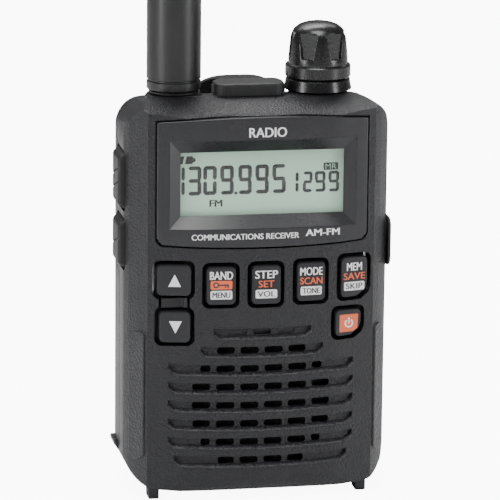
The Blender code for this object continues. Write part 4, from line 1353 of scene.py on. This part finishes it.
@dataclass
class Display:
    """Bezel with its bevelled window, and what the liquid crystal shows."""

    half: float = 23.0
    bottom: float = 57.4
    top: float = 84.0
    proud: float = 0.5
    window_half: float = 20.35
    window_z: Point = (60.8, 80.0)
    crystal_half: float = 17.8
    crystal_z: Point = (63.3, 77.2)
    crystal_y: float = -12.6
    figure_y: float = -10.96

    def edges(self, x: float, grow: float) -> Point:
        """Lower and upper edge of the bezel at x: both bow, and the lower corners are cut."""
        share = min(abs(x) / (self.half + grow), 1.0)
        top = self.top + 1.0 - share**2 + grow
        low = self.bottom - 0.8 + 0.8 * share**2 - grow
        cut = max(abs(x) - (self.half + grow - 1.2), 0.0)
        return low + cut * 1.1, top

    def band(self, name: str, grow: float, ahead: float, behind: float) -> Item:
        """Curved plate with the bezel's outline, swept across the front."""
        half = self.half + grow
        rings = []
        for x in [-half] + spread(-half + 1.2, half - 1.2, 36) + [half]:
            low, top = self.edges(x, grow)
            near, far = front_y(x, ahead), front_y(x) + behind
            rings.append([(x, near, low), (x, near, top), (x, far, top), (x, far, low)])
        return lofted(name, rings)

    def recess_tool(self, gap: float) -> Item:
        """Tool for the recess in the case that the bezel sits in."""
        return self.band("recess", gap, 4.0, 1.2)

    def window_ring(self, half: float, zs: Point, y: float | None) -> list[Place]:
        """Ring around the window; with no y it lies on the bezel's face."""
        top = [(x, front_y(x, self.proud) if y is None else y, zs[1]) for x in spread(half, -half, 20)]
        low = [(x, front_y(x, self.proud) if y is None else y, zs[0]) for x in spread(-half, half, 20)]
        return top + low

    def build_surround(self) -> Item:
        """Bevelled surround that narrows from the bezel's face to the panel.

        Returns:
            The surround, a closed frame.
        """
        wide = (self.window_z[0] - 0.3, self.window_z[1] + 0.3)
        rings = [
            self.window_ring(self.window_half, self.window_z, None),
            self.window_ring(self.crystal_half, self.crystal_z, self.crystal_y),
            self.window_ring(self.crystal_half, self.crystal_z, self.crystal_y + 0.3),
            self.window_ring(self.window_half + 0.3, wide, self.crystal_y + 0.3),
        ]
        return lofted("surround", rings + rings[:1])

    def build_bezel(self) -> Item:
        """Bezel: the curved plate with its collar and the window's bevelled surround.

        Returns:
            The bezel.
        """
        piece = soften(self.band("bezel", 0.0, self.proud, 0.9), 0.28, 3, 40.0)
        rings = []
        for x in spread(-21.2, 21.2, 36):
            near, far = front_y(x) + 0.35, self.crystal_y + 0.3
            rings.append([(x, near, 60.0), (x, near, 80.9), (x, far, 80.9), (x, far, 60.0)])
        shape(piece, lofted("collar", rings), Cut.ON)
        low, high = self.window_z
        opening = plate("opening", rounded(-self.window_half, self.window_half, low, high, 0.05, 1), Plane.FRONT, -30, 0)
        shape(piece, opening)
        inside = self.window_half + 0.1
        soften_rims(
            piece,
            lambda p: abs(p.x) < inside and low - 0.1 < p.z < high + 0.1 and p.y < front_y(p.x, self.proud) + 0.05,
            0.13,
        )
        return as_one([piece, self.build_surround()])

    def segment(self, digit: str, left: float, low: float, width: float, height: float, thick: float) -> list[Item]:
        """Bars of one seven-bar figure.

        Args:
            digit: The figure.
            left: Its left side.
            low: Its lower side.
            width: Its width.
            height: Its height.
            thick: Thickness of a bar.

        Returns:
            The bars.
        """
        lit = {
            "0": "abcdef", "1": "ef", "2": "abged", "3": "abgcd", "4": "fgbc",
            "5": "afgcd", "6": "afgedc", "7": "abc", "8": "abcdefg", "9": "abfgcd",
        }[digit]
        right, high, middle = left + width, low + height, low + height / 2
        gap, half = 0.10, thick / 2
        flat = {"a": high - half, "g": middle, "d": low + half}
        upright = {"b": (right, middle, high), "c": (right, low, middle)}
        upright |= {"f": (left, middle, high), "e": (left, low, middle)}
        bars = []
        for name in lit:
            if name in flat:
                z, l, r = flat[name], left + gap, right - gap
                outline = [(l, z), (l + half, z + half), (r - half, z + half)]
                outline += [(r, z), (r - half, z - half), (l + half, z - half)]
            else:
                side, z0, z1 = upright[name]
                x = side - half if side == right else side + half
                z0, z1 = z0 + gap, z1 - gap
                outline = [(x, z0), (x + half, z0 + half), (x + half, z1 - half)]
                outline += [(x, z1), (x - half, z1 - half), (x - half, z0 + half)]
            bars.append(printed("bar", outline, self.figure_y))
        return bars

    def build_figures(self) -> Item:
        """Everything that the panel shows, as one film: figures, point, battery mark and modes.

        Returns:
            The film.
        """
        bars = self.segment("1", -17.3, 67.5, 1.2, 6.37, 0.70)
        lefts = (-15.95, -12.6, -8.9, -4.96, -1.24, 2.48)
        for digit, left in zip("309995", lefts):
            bars += self.segment(digit, left, 67.5, 2.95, 6.37, 0.84)
        bars.append(printed("point", rounded(-5.75, -5.15, 67.45, 68.05, 0.12, 2), self.figure_y))
        for digit, left, width in zip("1299", (7.6, 9.2, 11.8, 14.8), (1.0, 2.1, 2.35, 2.35)):
            bars += self.segment(digit, left, 67.5, width, 4.55, 0.66)
        bars.append(printed("cap", [(-17.6, 76.1), (-16.75, 76.1), (-17.1, 74.4), (-17.5, 74.4)], self.figure_y))
        cell = [(-16.6, 74.4), (-14.9, 74.4), (-14.9, 74.7), (-14.3, 74.9), (-14.3, 75.6), (-14.9, 75.8), (-14.9, 76.1)]
        bars.append(printed("cell", cell + [(-16.2, 76.1)], self.figure_y))
        bars.append(lettering("fm", "FM", (-9.8, 65.65), 1.5, 2.7, self.figure_y, 0.05))
        tab = printed("tab", rounded(13.7, 16.9, 72.3, 73.9, 0.2, 3), self.figure_y)
        shape(tab, self.stencil("MR", (15.3, 73.1), 1.1, 2.4))
        bars.append(tab)
        film = as_one(bars)
        film.name = "display_figures"
        return film

    def stencil(self, words: str, centre: Point, height: float, width: float) -> Item:
        """Deep copy of some words, for cutting them out of a printed tab."""
        tool = lettering("stencil", words, centre, height, width, self.figure_y, 0.0)
        for vertex in tool.data.vertices:
            away = vertex.co.y / MM - self.figure_y
            vertex.co.y += math.copysign(0.1, away) * MM
        return tool

    def build_words(self) -> list[Item]:
        """White words on the bezel: a generic name above the window and the type below it.

        Returns:
            The words.
        """
        rows = (
            ("bezel_word_top", "RADIO", (0.6, 81.75), 2.1, 8.1, 0.03),
            ("bezel_word_type", "COMMUNICATIONS RECEIVER", (-4.0, 59.1), 1.25, 23.3, 0.03),
            ("bezel_word_band", "AM-FM", (12.9, 59.5), 1.45, 7.5, 0.05),
        )
        words = []
        for name, text, centre, height, width, weight in rows:
            word = lettering(name, text, centre, height, width, FRONT_APEX - self.proud - 0.008, weight)
            words.append(follow_front(word))
        return words

    def build(self, finishes: Finishes) -> None:
        """Builds and dresses the display.

        Args:
            finishes: The finishes.
        """
        hand_over(self.build_bezel(), finishes.bezel, "case", "display_bezel")
        hand_over(self.build_figures(), finishes.segment, "case", smooth=20.0)
        for word in self.build_words():
            hand_over(word, finishes.white, "case", smooth=20.0)


@dataclass
class Keypad:
    """Seven front keys with their printed marks, and the bar between the up and down keys."""

    proud: float = 0.55
    round_corner: float = 1.1
    well: float = 0.8
    nodes: tuple[str, ...] = ("key_up", "key_down", "key_band", "key_step", "key_mode", "key_memory", "key_power")
    clipped: tuple[str, ...] = ("key_memory", "key_power")

    def outline(self, node: str, grow: float) -> list[Point]:
        """Outline of a key: the memory and power keys lose their lower right corner."""
        low, high = case_box(node)
        left, right, base, top = low.x - grow, high.x + grow, low.z - grow, high.z + grow
        points = rounded(left, right, base, top, self.round_corner + grow * 0.5)
        if node in self.clipped:
            return points[:-7] + [(right - 2.3, base + 0.2), (right - 0.5, base + 1.6), (right, base + 3.0)]
        return points

    def well_tool(self, node: str) -> Item:
        """Tool for the well around a key."""
        return plate("well", self.outline(node, self.well), Plane.FRONT, FRONT_APEX - 3, FRONT_APEX + 6)

    def build_key(self, node: str) -> Item:
        """One key: a rounded block whose top is softened and follows the front.

        Args:
            node: CAD node of the key.

        Returns:
            The key.
        """
        low, high = case_box(node)
        back = high.y - bow_back(max(abs(low.x), abs(high.x)))
        piece = plate(node + "_cap", self.outline(node, 0.0), Plane.FRONT, FRONT_APEX - self.proud, back)
        face = FRONT_APEX - self.proud
        soften_rims(piece, lambda p: abs(p.y - face) < 0.02, 0.42, 60.0)
        return follow_front(piece)

    def mark(self, node: str, rows: Sequence[tuple[str, str]], finishes: Finishes) -> None:
        """Prints rows of words on a key.

        Args:
            node: CAD node of the key.
            rows: Kind and words of each row: plain, orange, orange tab or white tab.
            finishes: The finishes.
        """
        low, high = case_box(node)
        x, z = (low.x + high.x) / 2, (low.z + high.z) / 2
        body = node + "_body"
        y = FRONT_APEX - self.proud - 0.008
        for (kind, words), rise in zip(rows, (2.35, 0.25, -1.95)):
            name = f"{node}_{kind}"
            width = 4.9 if len(words) > 3 else 3.4
            place = (x, z + rise)
            if kind in ("plain", "orange"):
                height = 1.75 if kind == "plain" else 1.5
                film = follow_front(lettering(name, words, place, height, width, y, 0.03 if kind == "plain" else 0.02))
                hand_over(film, finishes.white if kind == "plain" else finishes.orange, body, smooth=20.0)
                continue
            tab = rounded(x - 2.35, x + 2.35, place[1] - 0.95, place[1] + 0.95, 0.3, 3)
            film = follow_front(printed(name, tab, y))
            hand_over(film, finishes.white if kind == "white_tab" else finishes.orange, body, smooth=20.0)
            over = y - 0.02
            if words == "key":
                ink = self.key_sign(place, over)
            else:
                ink = lettering(name + "_word", words, place, 1.25, 3.8, over, 0.04)
            ink.name = name + "_ink"
            hand_over(follow_front(ink), finishes.dark, body, smooth=20.0)

    def key_sign(self, place: Point, y: float) -> Item:
        """Small sign of a key, for the key lock."""
        x, z = place
        bow = turned("bow", [(0.36, -0.012), (0.66, -0.012), (0.66, 0.012), (0.36, 0.012)], (x - 1.15, y, z), Axis.Y, 24)
        blade = [(x - 0.55, z - 0.16), (x + 0.75, z - 0.16), (x + 0.75, z - 0.6), (x + 1.0, z - 0.6)]
        blade += [(x + 1.0, z - 0.16), (x + 1.3, z - 0.16), (x + 1.3, z - 0.7), (x + 1.6, z - 0.7)]
        blade += [(x + 1.6, z + 0.16), (x - 0.55, z + 0.16)]
        return as_one([bow, printed("blade", blade, y)])

    def triangle(self, node: str, up: bool) -> Item:
        """White triangle on the up or the down key."""
        low, high = case_box(node)
        x, z = (low.x + high.x) / 2 + 0.1, (low.z + high.z) / 2
        way = 1.35 if up else -1.35
        outline = [(x - 1.35, z - way), (x + 1.35, z - way), (x, z + way)]
        return follow_front(printed(node + "_triangle", outline, FRONT_APEX - self.proud - 0.008))

    def power_sign(self) -> tuple[Item, Item]:
        """Orange plate of the power key, and the white sign on it."""
        low, high = case_box("key_power")
        x, z = (low.x + high.x) / 2 + 0.15, (low.z + high.z) / 2 - 0.05
        y = FRONT_APEX - self.proud - 0.008
        tab = rounded(x - 2.15, x + 2.15, z - 1.95, z + 1.95, 0.25, 3)
        tab = tab[:-4] + [(x + 1.0, z - 1.85), (x + 2.0, z - 1.2)]
        ring = arc((x, z), 1.0, 125, 415, 28) + arc((x, z), 0.68, 415, 125, 28)
        stem = rounded(x - 0.17, x + 0.17, z - 0.1, z + 1.25, 0.1, 2)
        sign = as_one([printed("key_power_sign", ring, y - 0.02), printed("stem", stem, y - 0.02)])
        return follow_front(printed("key_power_plate", tab, y)), follow_front(sign)

    def build_bar(self) -> Item:
        """Bar that bridges the well between the up and down keys, with a ridge at each end."""
        piece = block("key_bridge", (-21.7, -16.6), (-14.1, -12.0), (43.6, 45.5))
        for x in (-21.9, -17.1):
            shape(piece, block("ridge", (x, x + 0.7), (-14.5, -12.0), (43.5, 45.6)), Cut.ON)
        return follow_front(soften(piece, 0.12, 2))

    def build(self, finishes: Finishes) -> None:
        """Builds and dresses the keys.

        Args:
            finishes: The finishes.
        """
        for node in self.nodes:
            hand_over(self.build_key(node), finishes.key, node + "_body", node)
        hand_over(self.triangle("key_up", True), finishes.white, "key_up_body", smooth=20.0)
        hand_over(self.triangle("key_down", False), finishes.white, "key_down_body", smooth=20.0)
        self.mark("key_band", (("plain", "BAND"), ("orange_tab", "key"), ("white_tab", "MENU")), finishes)
        self.mark("key_step", (("plain", "STEP"), ("orange", "SET"), ("white_tab", "VOL")), finishes)
        self.mark("key_mode", (("plain", "MODE"), ("orange", "SCAN"), ("white_tab", "TONE")), finishes)
        self.mark("key_memory", (("plain", "MEM"), ("orange", "SAVE"), ("white_tab", "SKIP")), finishes)
        tab, sign = self.power_sign()
        hand_over(tab, finishes.orange, "key_power_body", smooth=20.0)
        hand_over(sign, finishes.white, "key_power_body", smooth=20.0)
        hand_over(self.build_bar(), finishes.key, "case")


@dataclass
class SideFittings:
    """The two side keys and the flap over the power jack."""

    base_x: float = -28.6

    def build_key(self, node: str, lines: int) -> Item:
        """One side key: a rounded bar with slanted lines engraved across it.

        Args:
            node: CAD node of the key.
            lines: Number of engraved lines.

        Returns:
            The key.
        """
        low, high = case_box(node)
        slant = [(low.x, low.z + 1.0), (low.x, high.z - 1.0), (self.base_x, high.z), (high.x, high.z)]
        slant += [(high.x, low.z), (self.base_x, low.z)]
        piece = soften(plate(node + "_cap", slant, Plane.FRONT, low.y, high.y), 0.75, 5, 20.0)
        for index in range(lines):
            z = (low.z + high.z) / 2 + (index - (lines - 1) / 2) * 3.0
            cut = [(low.y - 1, z + 1.6), (low.y - 1, z + 1.95), (high.y + 1, z - 1.6), (high.y + 1, z - 1.95)]
            shape(piece, plate("line", cut, Plane.SIDE, low.x - 1, low.x + 0.28))
        return piece

    def build_flap(self) -> Item:
        """Rubber flap over the power jack, with a finger lip and a raised rim."""
        low, high = case_box("dc_jack_cover")
        x0, x1 = 29.12, high.x - 0.45
        piece = plate("power_flap", rounded(low.y, high.y, low.z, high.z, 2.0), Plane.SIDE, x0, x1)
        soften_rims(piece, lambda p: abs(p.x - x1) < 0.01, 0.35)
        panel = rounded(low.y + 1.3, high.y - 1.3, low.z + 2.2, high.z - 1.3, 1.2)
        shape(piece, plate("dish", panel, Plane.SIDE, x1 - 0.18, x1 + 1))
        y, z = (low.y + high.y) / 2, (low.z + high.z) / 2
        return shape(piece, rod("plug", 1.3, (low.x, y, z), x0 - low.x + 0.3, Axis.X), Cut.ON)

    def build(self, finishes: Finishes) -> None:
        """Builds and dresses the side fittings.

        Args:
            finishes: The finishes.
        """
        hand_over(self.build_key("side_key_function", 2), finishes.rubber, "side_key_function_body", "side_key_function")
        hand_over(self.build_key("side_key_squelch", 1), finishes.rubber, "side_key_squelch_body", "side_key_squelch")
        hand_over(self.build_flap(), finishes.rubber, "side_jack_cover", "dc_jack_cover")


@dataclass
class Antenna:
    """Whip antenna with a fluted rubber grip."""

    radius: float = 5.9
    neck: float = 4.2
    end: float = 3.1
    bore: float = 4.9
    flutes: int = 6
    first_flute: float = 0.0

    def profile(self, length: float) -> list[Point]:
        """Outline of the sheath from its round tip down to its base ring and bore."""
        tip = [(self.end * math.cos(a), length - self.end * 1.3 * (1 - math.sin(a))) for a in spread(math.pi / 2, 0, 8)]
        tip[0] = (0.0, length)
        base, ring = self.radius, self.radius - 0.35
        grip = [(self.neck, 48.0), (self.neck + 0.25, 44.5), (base - 0.55, 40.0), (base - 0.15, 36.5), (base, 33.0)]
        foot = [(base, 2.45), (base - 0.1, 2.3), (ring, 2.2), (ring, 1.95), (base - 0.12, 1.85), (base, 1.75)]
        foot += [(base, 0.25), (base - 0.2, 0.0), (self.bore, 0.0), (self.bore, 9.0), (1.7, 9.0)]
        return tip + grip + foot + [(1.7, length - 8.0), (0.0, length - 8.0)]

    def build(self, finishes: Finishes) -> None:
        """Builds and dresses the antenna.

        Args:
            finishes: The finishes.
        """
        low, high = case_box("antenna_sheath")
        x, y = (low.x + high.x) / 2, (low.y + high.y) / 2
        piece = turned("whip", self.profile(high.z - low.z), (x, y, low.z), Axis.Z, 96)
        tools = []
        for index in range(self.flutes):
            turn = math.radians(360 / self.flutes * index + self.first_flute)
            away = self.radius + 1.75
            tool = rod("flute", 2.4, (0, 0, 0), 52, Axis.Z, 40)
            tool.rotation_euler = Vector((-math.cos(turn) * 0.035, -math.sin(turn) * 0.035, 1)).to_track_quat("Z", "Y").to_euler()
            tool.location = Vector((x + away * math.cos(turn), y + away * math.sin(turn), low.z + 6.0)) * MM
            take(tool)
            bpy.ops.object.transform_apply(location=True, rotation=True, scale=True)
            tools.append(tool)
        shape(piece, as_one(tools))
        hand_over(piece, finishes.whip, "antenna_whip", "antenna_sheath", smooth=40.0)


@dataclass
class TuningKnob:
    """Tuning knob with its skirt, recesses and pointer, over a glossy collar."""

    skirt: float = 7.15
    cap: float = 6.5
    recesses: int = 6
    first_recess: float = -3.0
    pointer: float = -94.8

    def build_cap(self) -> Item:
        """The knob itself.

        Returns:
            The knob.
        """
        low, high = case_box("tuning_knob")
        x, y, tall = (low.x + high.x) / 2, (low.y + high.y) / 2, high.z - low.z
        dome = [(0.0, tall), (1.6, tall - 0.08), (3.0, tall - 0.35), (4.2, tall - 0.8), (5.1, tall - 1.45)]
        dome += [(5.75, tall - 2.3), (6.1, tall - 3.3), (6.25, tall - 4.6), (6.42, 5.2), (self.cap, 3.4), (self.cap, 2.95)]
        skirt = [(6.75, 2.8), (7.0, 2.72), (self.skirt, 2.5), (self.skirt, 0.25), (6.95, 0.0)]
        inside = [(3.5, 0.0), (3.5, 1.0), (1.8, 1.0), (1.8, tall - 4.0), (0.0, tall - 4.0)]
        piece = turned("tuning_cap", dome + skirt + inside, (x, y, low.z), Axis.Z, 96)
        tools = []
        for index in range(self.recesses):
            turn = math.radians(360 / self.recesses * index + self.first_recess)
            rings = []
            for z, half, deep in ((4.35, 1.25, 5.78), (tall - 2.2, 2.15, 5.30)):
                ring = [(deep, -half), (8.5, -half * 1.25), (8.5, half * 1.25), (deep, half)]
                spun = [(u * math.cos(turn) - v * math.sin(turn), u * math.sin(turn) + v * math.cos(turn)) for u, v in ring]
                rings.append([(x + u, y + v, low.z + z) for u, v in spun])
            tools.append(lofted("recess", rings))
        shape(piece, as_one(tools))
        inner = self.cap + 0.25
        soften_rims(piece, lambda p: p.z > low.z + 4.0 and math.hypot(p.x - x, p.y - y) < inner, 0.12, 40.0)
        return piece

    def build_pointer(self) -> Item:
        """Two fine raised lines down the knob's side, which show its turn."""
        low, high = case_box("tuning_knob")
        x, y, tall = (low.x + high.x) / 2, (low.y + high.y) / 2, high.z - low.z
        turn = math.radians(self.pointer)
        ribs = []
        for across in (-0.28, 0.28):
            rings = []
            for z, out in ((3.2, 6.62), (5.2, 6.54), (tall - 4.6, 6.37), (tall - 3.3, 6.2), (tall - 2.3, 5.85)):
                ring = [(out - 0.5, across - 0.13), (out, across - 0.08), (out, across + 0.08), (out - 0.5, across + 0.13)]
                spun = [(u * math.cos(turn) - v * math.sin(turn), u * math.sin(turn) + v * math.cos(turn)) for u, v in ring]
                rings.append([(x + u, y + v, low.z + z) for u, v in spun])
            ribs.append(lofted("knob_pointer", rings))
        return as_one(ribs)

    def build(self, finishes: Finishes) -> None:
        """Builds and dresses the knob and its collar.

        Args:
            finishes: The finishes.
        """
        hand_over(self.build_cap(), finishes.knob, "knob", "tuning_knob", smooth=30.0)
        hand_over(self.build_pointer(), finishes.knob, "knob")
        low, high = case_box("knob_collar")
        x, y, tall = (low.x + high.x) / 2, (low.y + high.y) / 2, high.z - low.z
        profile = [(6.85, tall), (7.0, tall - 0.15), (7.15, tall * 0.5), (7.38, 0.2), (7.4, 0.0), (5.7, 0.0), (5.7, tall)]
        collar = turned("knob_seat", profile, (x, y, low.z), Axis.Z, 96)
        hand_over(collar, finishes.knob, "case", "knob_collar")


@dataclass
class TopCover:
    """Rubber cover over the speaker jack, with a pull lip."""

    def build(self, finishes: Finishes) -> None:
        """Builds and dresses the cover.

        Args:
            finishes: The finishes.
        """
        low, high = case_box("jack_cover")
        base = high.z - 2.7
        outline = rounded(low.x, high.x, low.y, high.y, 2.6, 8)
        piece = plate("jack_lid", outline, Plane.TOP, base, high.z)
        soften_rims(piece, lambda p: abs(p.z - high.z) < 0.01, 0.9, 60.0)
        x = (low.x + high.x) / 2
        shape(piece, block("lip", (high.x - 1.2, high.x + 1), (low.y - 1, high.y + 1), (base - 1, base + 0.5)))
        shape(piece, rod("plug", 1.4, (x, 0.0, low.z), base - low.z + 0.5), Cut.ON)
        hand_over(piece, finishes.rubber, "top_jack_cover", "jack_cover")


@dataclass
class BeltClip:
    """Belt clip: its base on the rear shell and its sprung jaw."""

    y: float = 20.0
    z: float = 72.0
    half: float = 8.1

    def build_base(self) -> Item:
        """Base plate with two lugs.

        Returns:
            The base.
        """
        low, _ = case_box("clip_base")
        back = low.y + 1.2
        outline = rounded(-self.half, self.half, self.z - 8.6, self.z + 8.6, 1.6)
        piece = soften(plate("clip_plate", outline, Plane.FRONT, low.y, back), 0.18, 2)
        for side in (-1, 1):
            near, far = sorted((side * 5.6, side * 7.0))
            lug = [(low.y + 0.4, self.z - 4.0), (self.y, self.z - 1.7)]
            lug += arc((self.y, self.z), 1.7, -90, 90, 12)[1:] + [(low.y + 0.4, self.z + 4.0)]
            shape(piece, soften(plate("lug", lug, Plane.SIDE, near, far), 0.12, 2), Cut.ON)
            shape(piece, rod("hole", 1.3, (0, low.y - 3, self.z + side * 6.0), 8, Axis.Y))
        return shape(piece, rod("bore", 1.15, (-9, self.y, self.z), 18, Axis.X))

    def build_jaw(self) -> Item:
        """Jaw with a ribbed thumb tab, a curved blade and a hooked lip.

        Returns:
            The jaw.
        """
        top = case_box("clip_jaw")[1].z
        outer = [(19.8, top), (20.6, top - 0.25), (21.4, top - 1.2), (22.5, 81.0), (23.4, 75.0), (23.6, 69.0), (23.6, 64.0)]
        outer += [(23.35, 57.0), (22.9, 50.0), (22.3, 42.0), (21.4, 34.0)]
        lip = [(20.6, 31.6), (19.2, 30.2), (17.2, 30.1), (15.4, 30.6), (15.3, 31.8), (17.2, 32.3), (18.6, 33.4), (20.2, 37.0)]
        inner = [(21.5, 50.0), (22.3, 64.0), (22.2, 75.0), (21.2, 81.0), (19.8, top - 1.7), (18.9, top - 0.7)]
        piece = plate("clip_blade", outer + lip + inner, Plane.SIDE, -self.half, self.half)
        shape(piece, plate("sides", self.jaw_face(top), Plane.FRONT, 10, 30), Cut.WITHIN)
        soften(piece, 0.3, 3, 30.0)
        for side in (-1, 1):
            near, far = sorted((side * 3.9, side * 5.2))
            ear = arc((self.y, self.z), 1.9, 90, 270, 12) + [(22.8, self.z - 3.2), (22.8, self.z + 3.2)]
            shape(piece, plate("ear", ear, Plane.SIDE, near, far), Cut.ON)
        ribs = [block("rib", (-5.5, 5.5), (22.75, 26.0), (z, z + 0.5)) for z in spread(76.0, 81.0, 5)]
        for index, rib in enumerate(ribs):
            for vertex in rib.data.vertices:
                vertex.co.y -= index * 0.17 * MM
        shape(piece, as_one(ribs))
        return shape(piece, rod("bore", 1.15, (-9, self.y, self.z), 18, Axis.X))

    def jaw_face(self, top: float) -> list[Point]:
        """Outline of the jaw from behind: an arched tab and a rounded lower end."""
        half = self.half
        crown = [(half * math.cos(a), top - 2.6 + 2.7 * math.sin(a)) for a in spread(0, math.pi, 20)]
        foot = [(-half, 33.5)] + arc((-half + 3.4, 33.4), 3.4, 180, 270, 8) + arc((half - 3.4, 33.4), 3.4, 270, 360, 8)
        return crown + foot + [(half, 33.5)]

    def build(self, finishes: Finishes) -> None:
        """Builds and dresses the clip.

        Args:
            finishes: The finishes.
        """
        hand_over(self.build_base(), finishes.frame, "case", "clip_base")
        hand_over(self.build_jaw(), finishes.rubber, "clip_lever", "clip_jaw")


@dataclass
class Screws:
    """The four screws that show at the rear, with cross recesses."""

    head: float = 2.0
    shank: float = 1.0

    def build(self, finishes: Finishes) -> None:
        """Builds and dresses the screws.

        Args:
            finishes: The finishes.
        """
        for node in ("case_screw_left", "case_screw_right", "clip_screw_lower", "clip_screw_upper"):
            low, high = case_box(node)
            x, z = (low.x + high.x) / 2, (low.z + high.z) / 2
            crown = [(0.0, 0.0), (1.2, -0.03), (1.7, -0.12), (1.95, -0.28), (self.head, -0.4), (self.head, -0.55)]
            profile = crown + [(self.shank, -0.55), (self.shank, -7.2), (0.7, -7.5), (0.0, -7.5)]
            piece = turned(node + "_head", profile, (x, high.y, z), Axis.Y, 40)
            ys = (high.y - 0.36, high.y + 1)
            cross = block("cross", (x - 0.2, x + 0.2), ys, (z - 1.15, z + 1.15))
            shape(cross, block("bar", (x - 1.15, x + 1.15), ys, (z - 0.2, z + 0.2)), Cut.ON)
            shape(piece, cross)
            hand_over(piece, finishes.steel, "case", node)


@dataclass
class Insides:
    """The carried-over CAD pieces, which keep their shapes and take a finish."""

    def build(self, finishes: Finishes) -> None:
        """Dresses every CAD piece that still shows.

        Args:
            finishes: The finishes.
        """
        dressed = {
            finishes.window: ("display_lens",),
            finishes.crystal: ("lcd_panel",),
            finishes.guide: ("lcd_light_guide",),
            finishes.well: ("keypad_mat",),
            finishes.rubber: ("antenna_seal",),
            finishes.cloth: ("speaker_cloth",),
            finishes.board: ("front_board", "main_board", "side_switch_board"),
            finishes.cone: ("speaker_cone",),
            finishes.frame: ("chassis", "speaker_frame", "encoder_body", "speaker_jack", "dc_jack"),
            finishes.brass: ("antenna_jack", "antenna_coupling", "antenna_pin"),
            finishes.cell: ("battery_cell_a", "battery_cell_b"),
            finishes.steel: (
                "receiver_shield", "dome_sheet", "speaker_magnet", "contact_plate_a", "contact_plate_b",
                "contact_link", "contact_spring_a", "contact_spring_b", "encoder_nut", "encoder_shaft",
                "antenna_core", "clip_pin", "clip_spring",
            ),
        }
        for finish, nodes in dressed.items():
            for node in nodes:
                mesh = frame["nodes"][node].data
                mesh.materials.clear()
                mesh.materials.append(finish)
                log.info("%s: carried over in %s", node, finish.name)


@dataclass
class Studio:
    """Pale floor, soft lights and the camera."""

    turn: float = math.radians(10.81)
    rise: float = math.radians(13.19)
    away: float = 796.76
    lens: float = 262.25
    roll: float = math.radians(0.6)
    aim: Place = (-0.154, 0.0, 52.488)

    def build_floor(self) -> None:
        """Wide pale floor with a rolled rim."""
        floor = plate("pale_floor", rounded(-2600, 2600, -2600, 2600, 400, 12), Plane.TOP, -8.0, -0.02)
        soften(floor, 3.0, 3)
        clean_shell(floor)
        bpy.ops.object.shade_smooth_by_angle(angle=math.radians(30))
        material, wiring, shader, place = new_material("pale_paper")
        fibre = wiring.node("TexNoise", Scale=40.0, Detail=4.0)
        wiring.join(place, fibre.inputs["Vector"])
        wiring.join(wiring.blend(fibre.outputs["Fac"], (0.90, 0.90, 0.90), (0.94, 0.94, 0.94)), shader.inputs["Base Color"])
        shader.inputs["Roughness"].default_value = 0.9
        shader.inputs["Emission Color"].default_value = (1, 1, 1, 1)
        seen = wiring.node("LightPath").outputs["Is Camera Ray"]
        wiring.join(wiring.sum("MULTIPLY", seen, 9.0), shader.inputs["Emission Strength"])
        floor.data.materials.clear()
        floor.data.materials.append(material)

    def light(self, name: str, place: Place, size: Point, power: float) -> None:
        """Adds a soft box that looks at the middle of the radio.

        Args:
            name: Name of the light.
            place: Its place, in millimetres.
            size: Its width and height, in millimetres.
            power: Its power, in watts.
        """
        lamp = bpy.data.lights.new(name, "AREA")
        lamp.shape = "RECTANGLE"
        lamp.size, lamp.size_y = size[0] * MM, size[1] * MM
        lamp.energy = power
        item = bpy.data.objects.new(name, lamp)
        bpy.context.scene.collection.objects.link(item)
        item.location = Vector(place) * MM
        item.rotation_euler = (Vector((0, 0, 60)) - Vector(place)).to_track_quat("-Z", "Y").to_euler()

    def build_lights(self) -> None:
        """Soft boxes above, left and right, and an even pale surround."""
        self.light("top_box", (-100, -340, 830), (520, 460), 7.5)
        self.light("left_box", (-640, -300, 200), (110, 600), 3.2)
        self.light("right_box", (560, -420, 220), (110, 600), 2.8)
        self.light("rear_box", (-50, 400, 800), (600, 200), 4.5)
        self.light("back_wash", (0, 900, 1000), (1600, 400), 5.0)
        world = bpy.data.worlds.new("surround")
        world.use_nodes = True
        world.node_tree.nodes["Background"].inputs["Color"].default_value = (1, 1, 1, 1)
        world.node_tree.nodes["Background"].inputs["Strength"].default_value = 0.14
        bpy.context.scene.world = world

    def build_camera(self) -> None:
        """Camera a little to the left of the front and above it."""
        back = Vector((
            -math.sin(self.turn) * math.cos(self.rise),
            -math.cos(self.turn) * math.cos(self.rise),
            math.sin(self.rise),
        ))
        target = Vector(self.aim) + Vector((0, CASE_OFFSET, 0))
        right = (-back).cross(Vector((0, 0, 1))).normalized()
        up = right.cross(-back)
        across = math.cos(self.roll) * right + math.sin(self.roll) * up
        upward = -math.sin(self.roll) * right + math.cos(self.roll) * up
        camera = bpy.data.cameras.new("front_camera")
        camera.sensor_width = 36.0
        camera.lens = self.lens
        camera.clip_start, camera.clip_end = 0.05, 20.0
        item = bpy.data.objects.new("front_camera", camera)
        bpy.context.scene.collection.objects.link(item)
        turn = Matrix((across, upward, back)).transposed().to_4x4()
        item.matrix_world = Matrix.Translation((target + back * self.away) * MM) @ turn
        bpy.context.scene.camera = item

    def build(self) -> None:
        """Builds the studio."""
        self.build_floor()
        self.build_lights()
        self.build_camera()


def main() -> None:
    """Builds the radio's sub-assemblies in order, then the studio."""
    logging.basicConfig(level=logging.INFO, format="%(name)s: %(message)s")
    finishes = build_finishes()
    display, keys = Display(), Keypad()
    Shells().build(finishes, keys, display)
    display.build(finishes)
    keys.build(finishes)
    for assembly in (SideFittings(), Antenna(), TuningKnob(), TopCover(), BeltClip(), Screws(), Insides()):
        assembly.build(finishes)
    Studio().build()


if __name__ == "__main__":
    main()
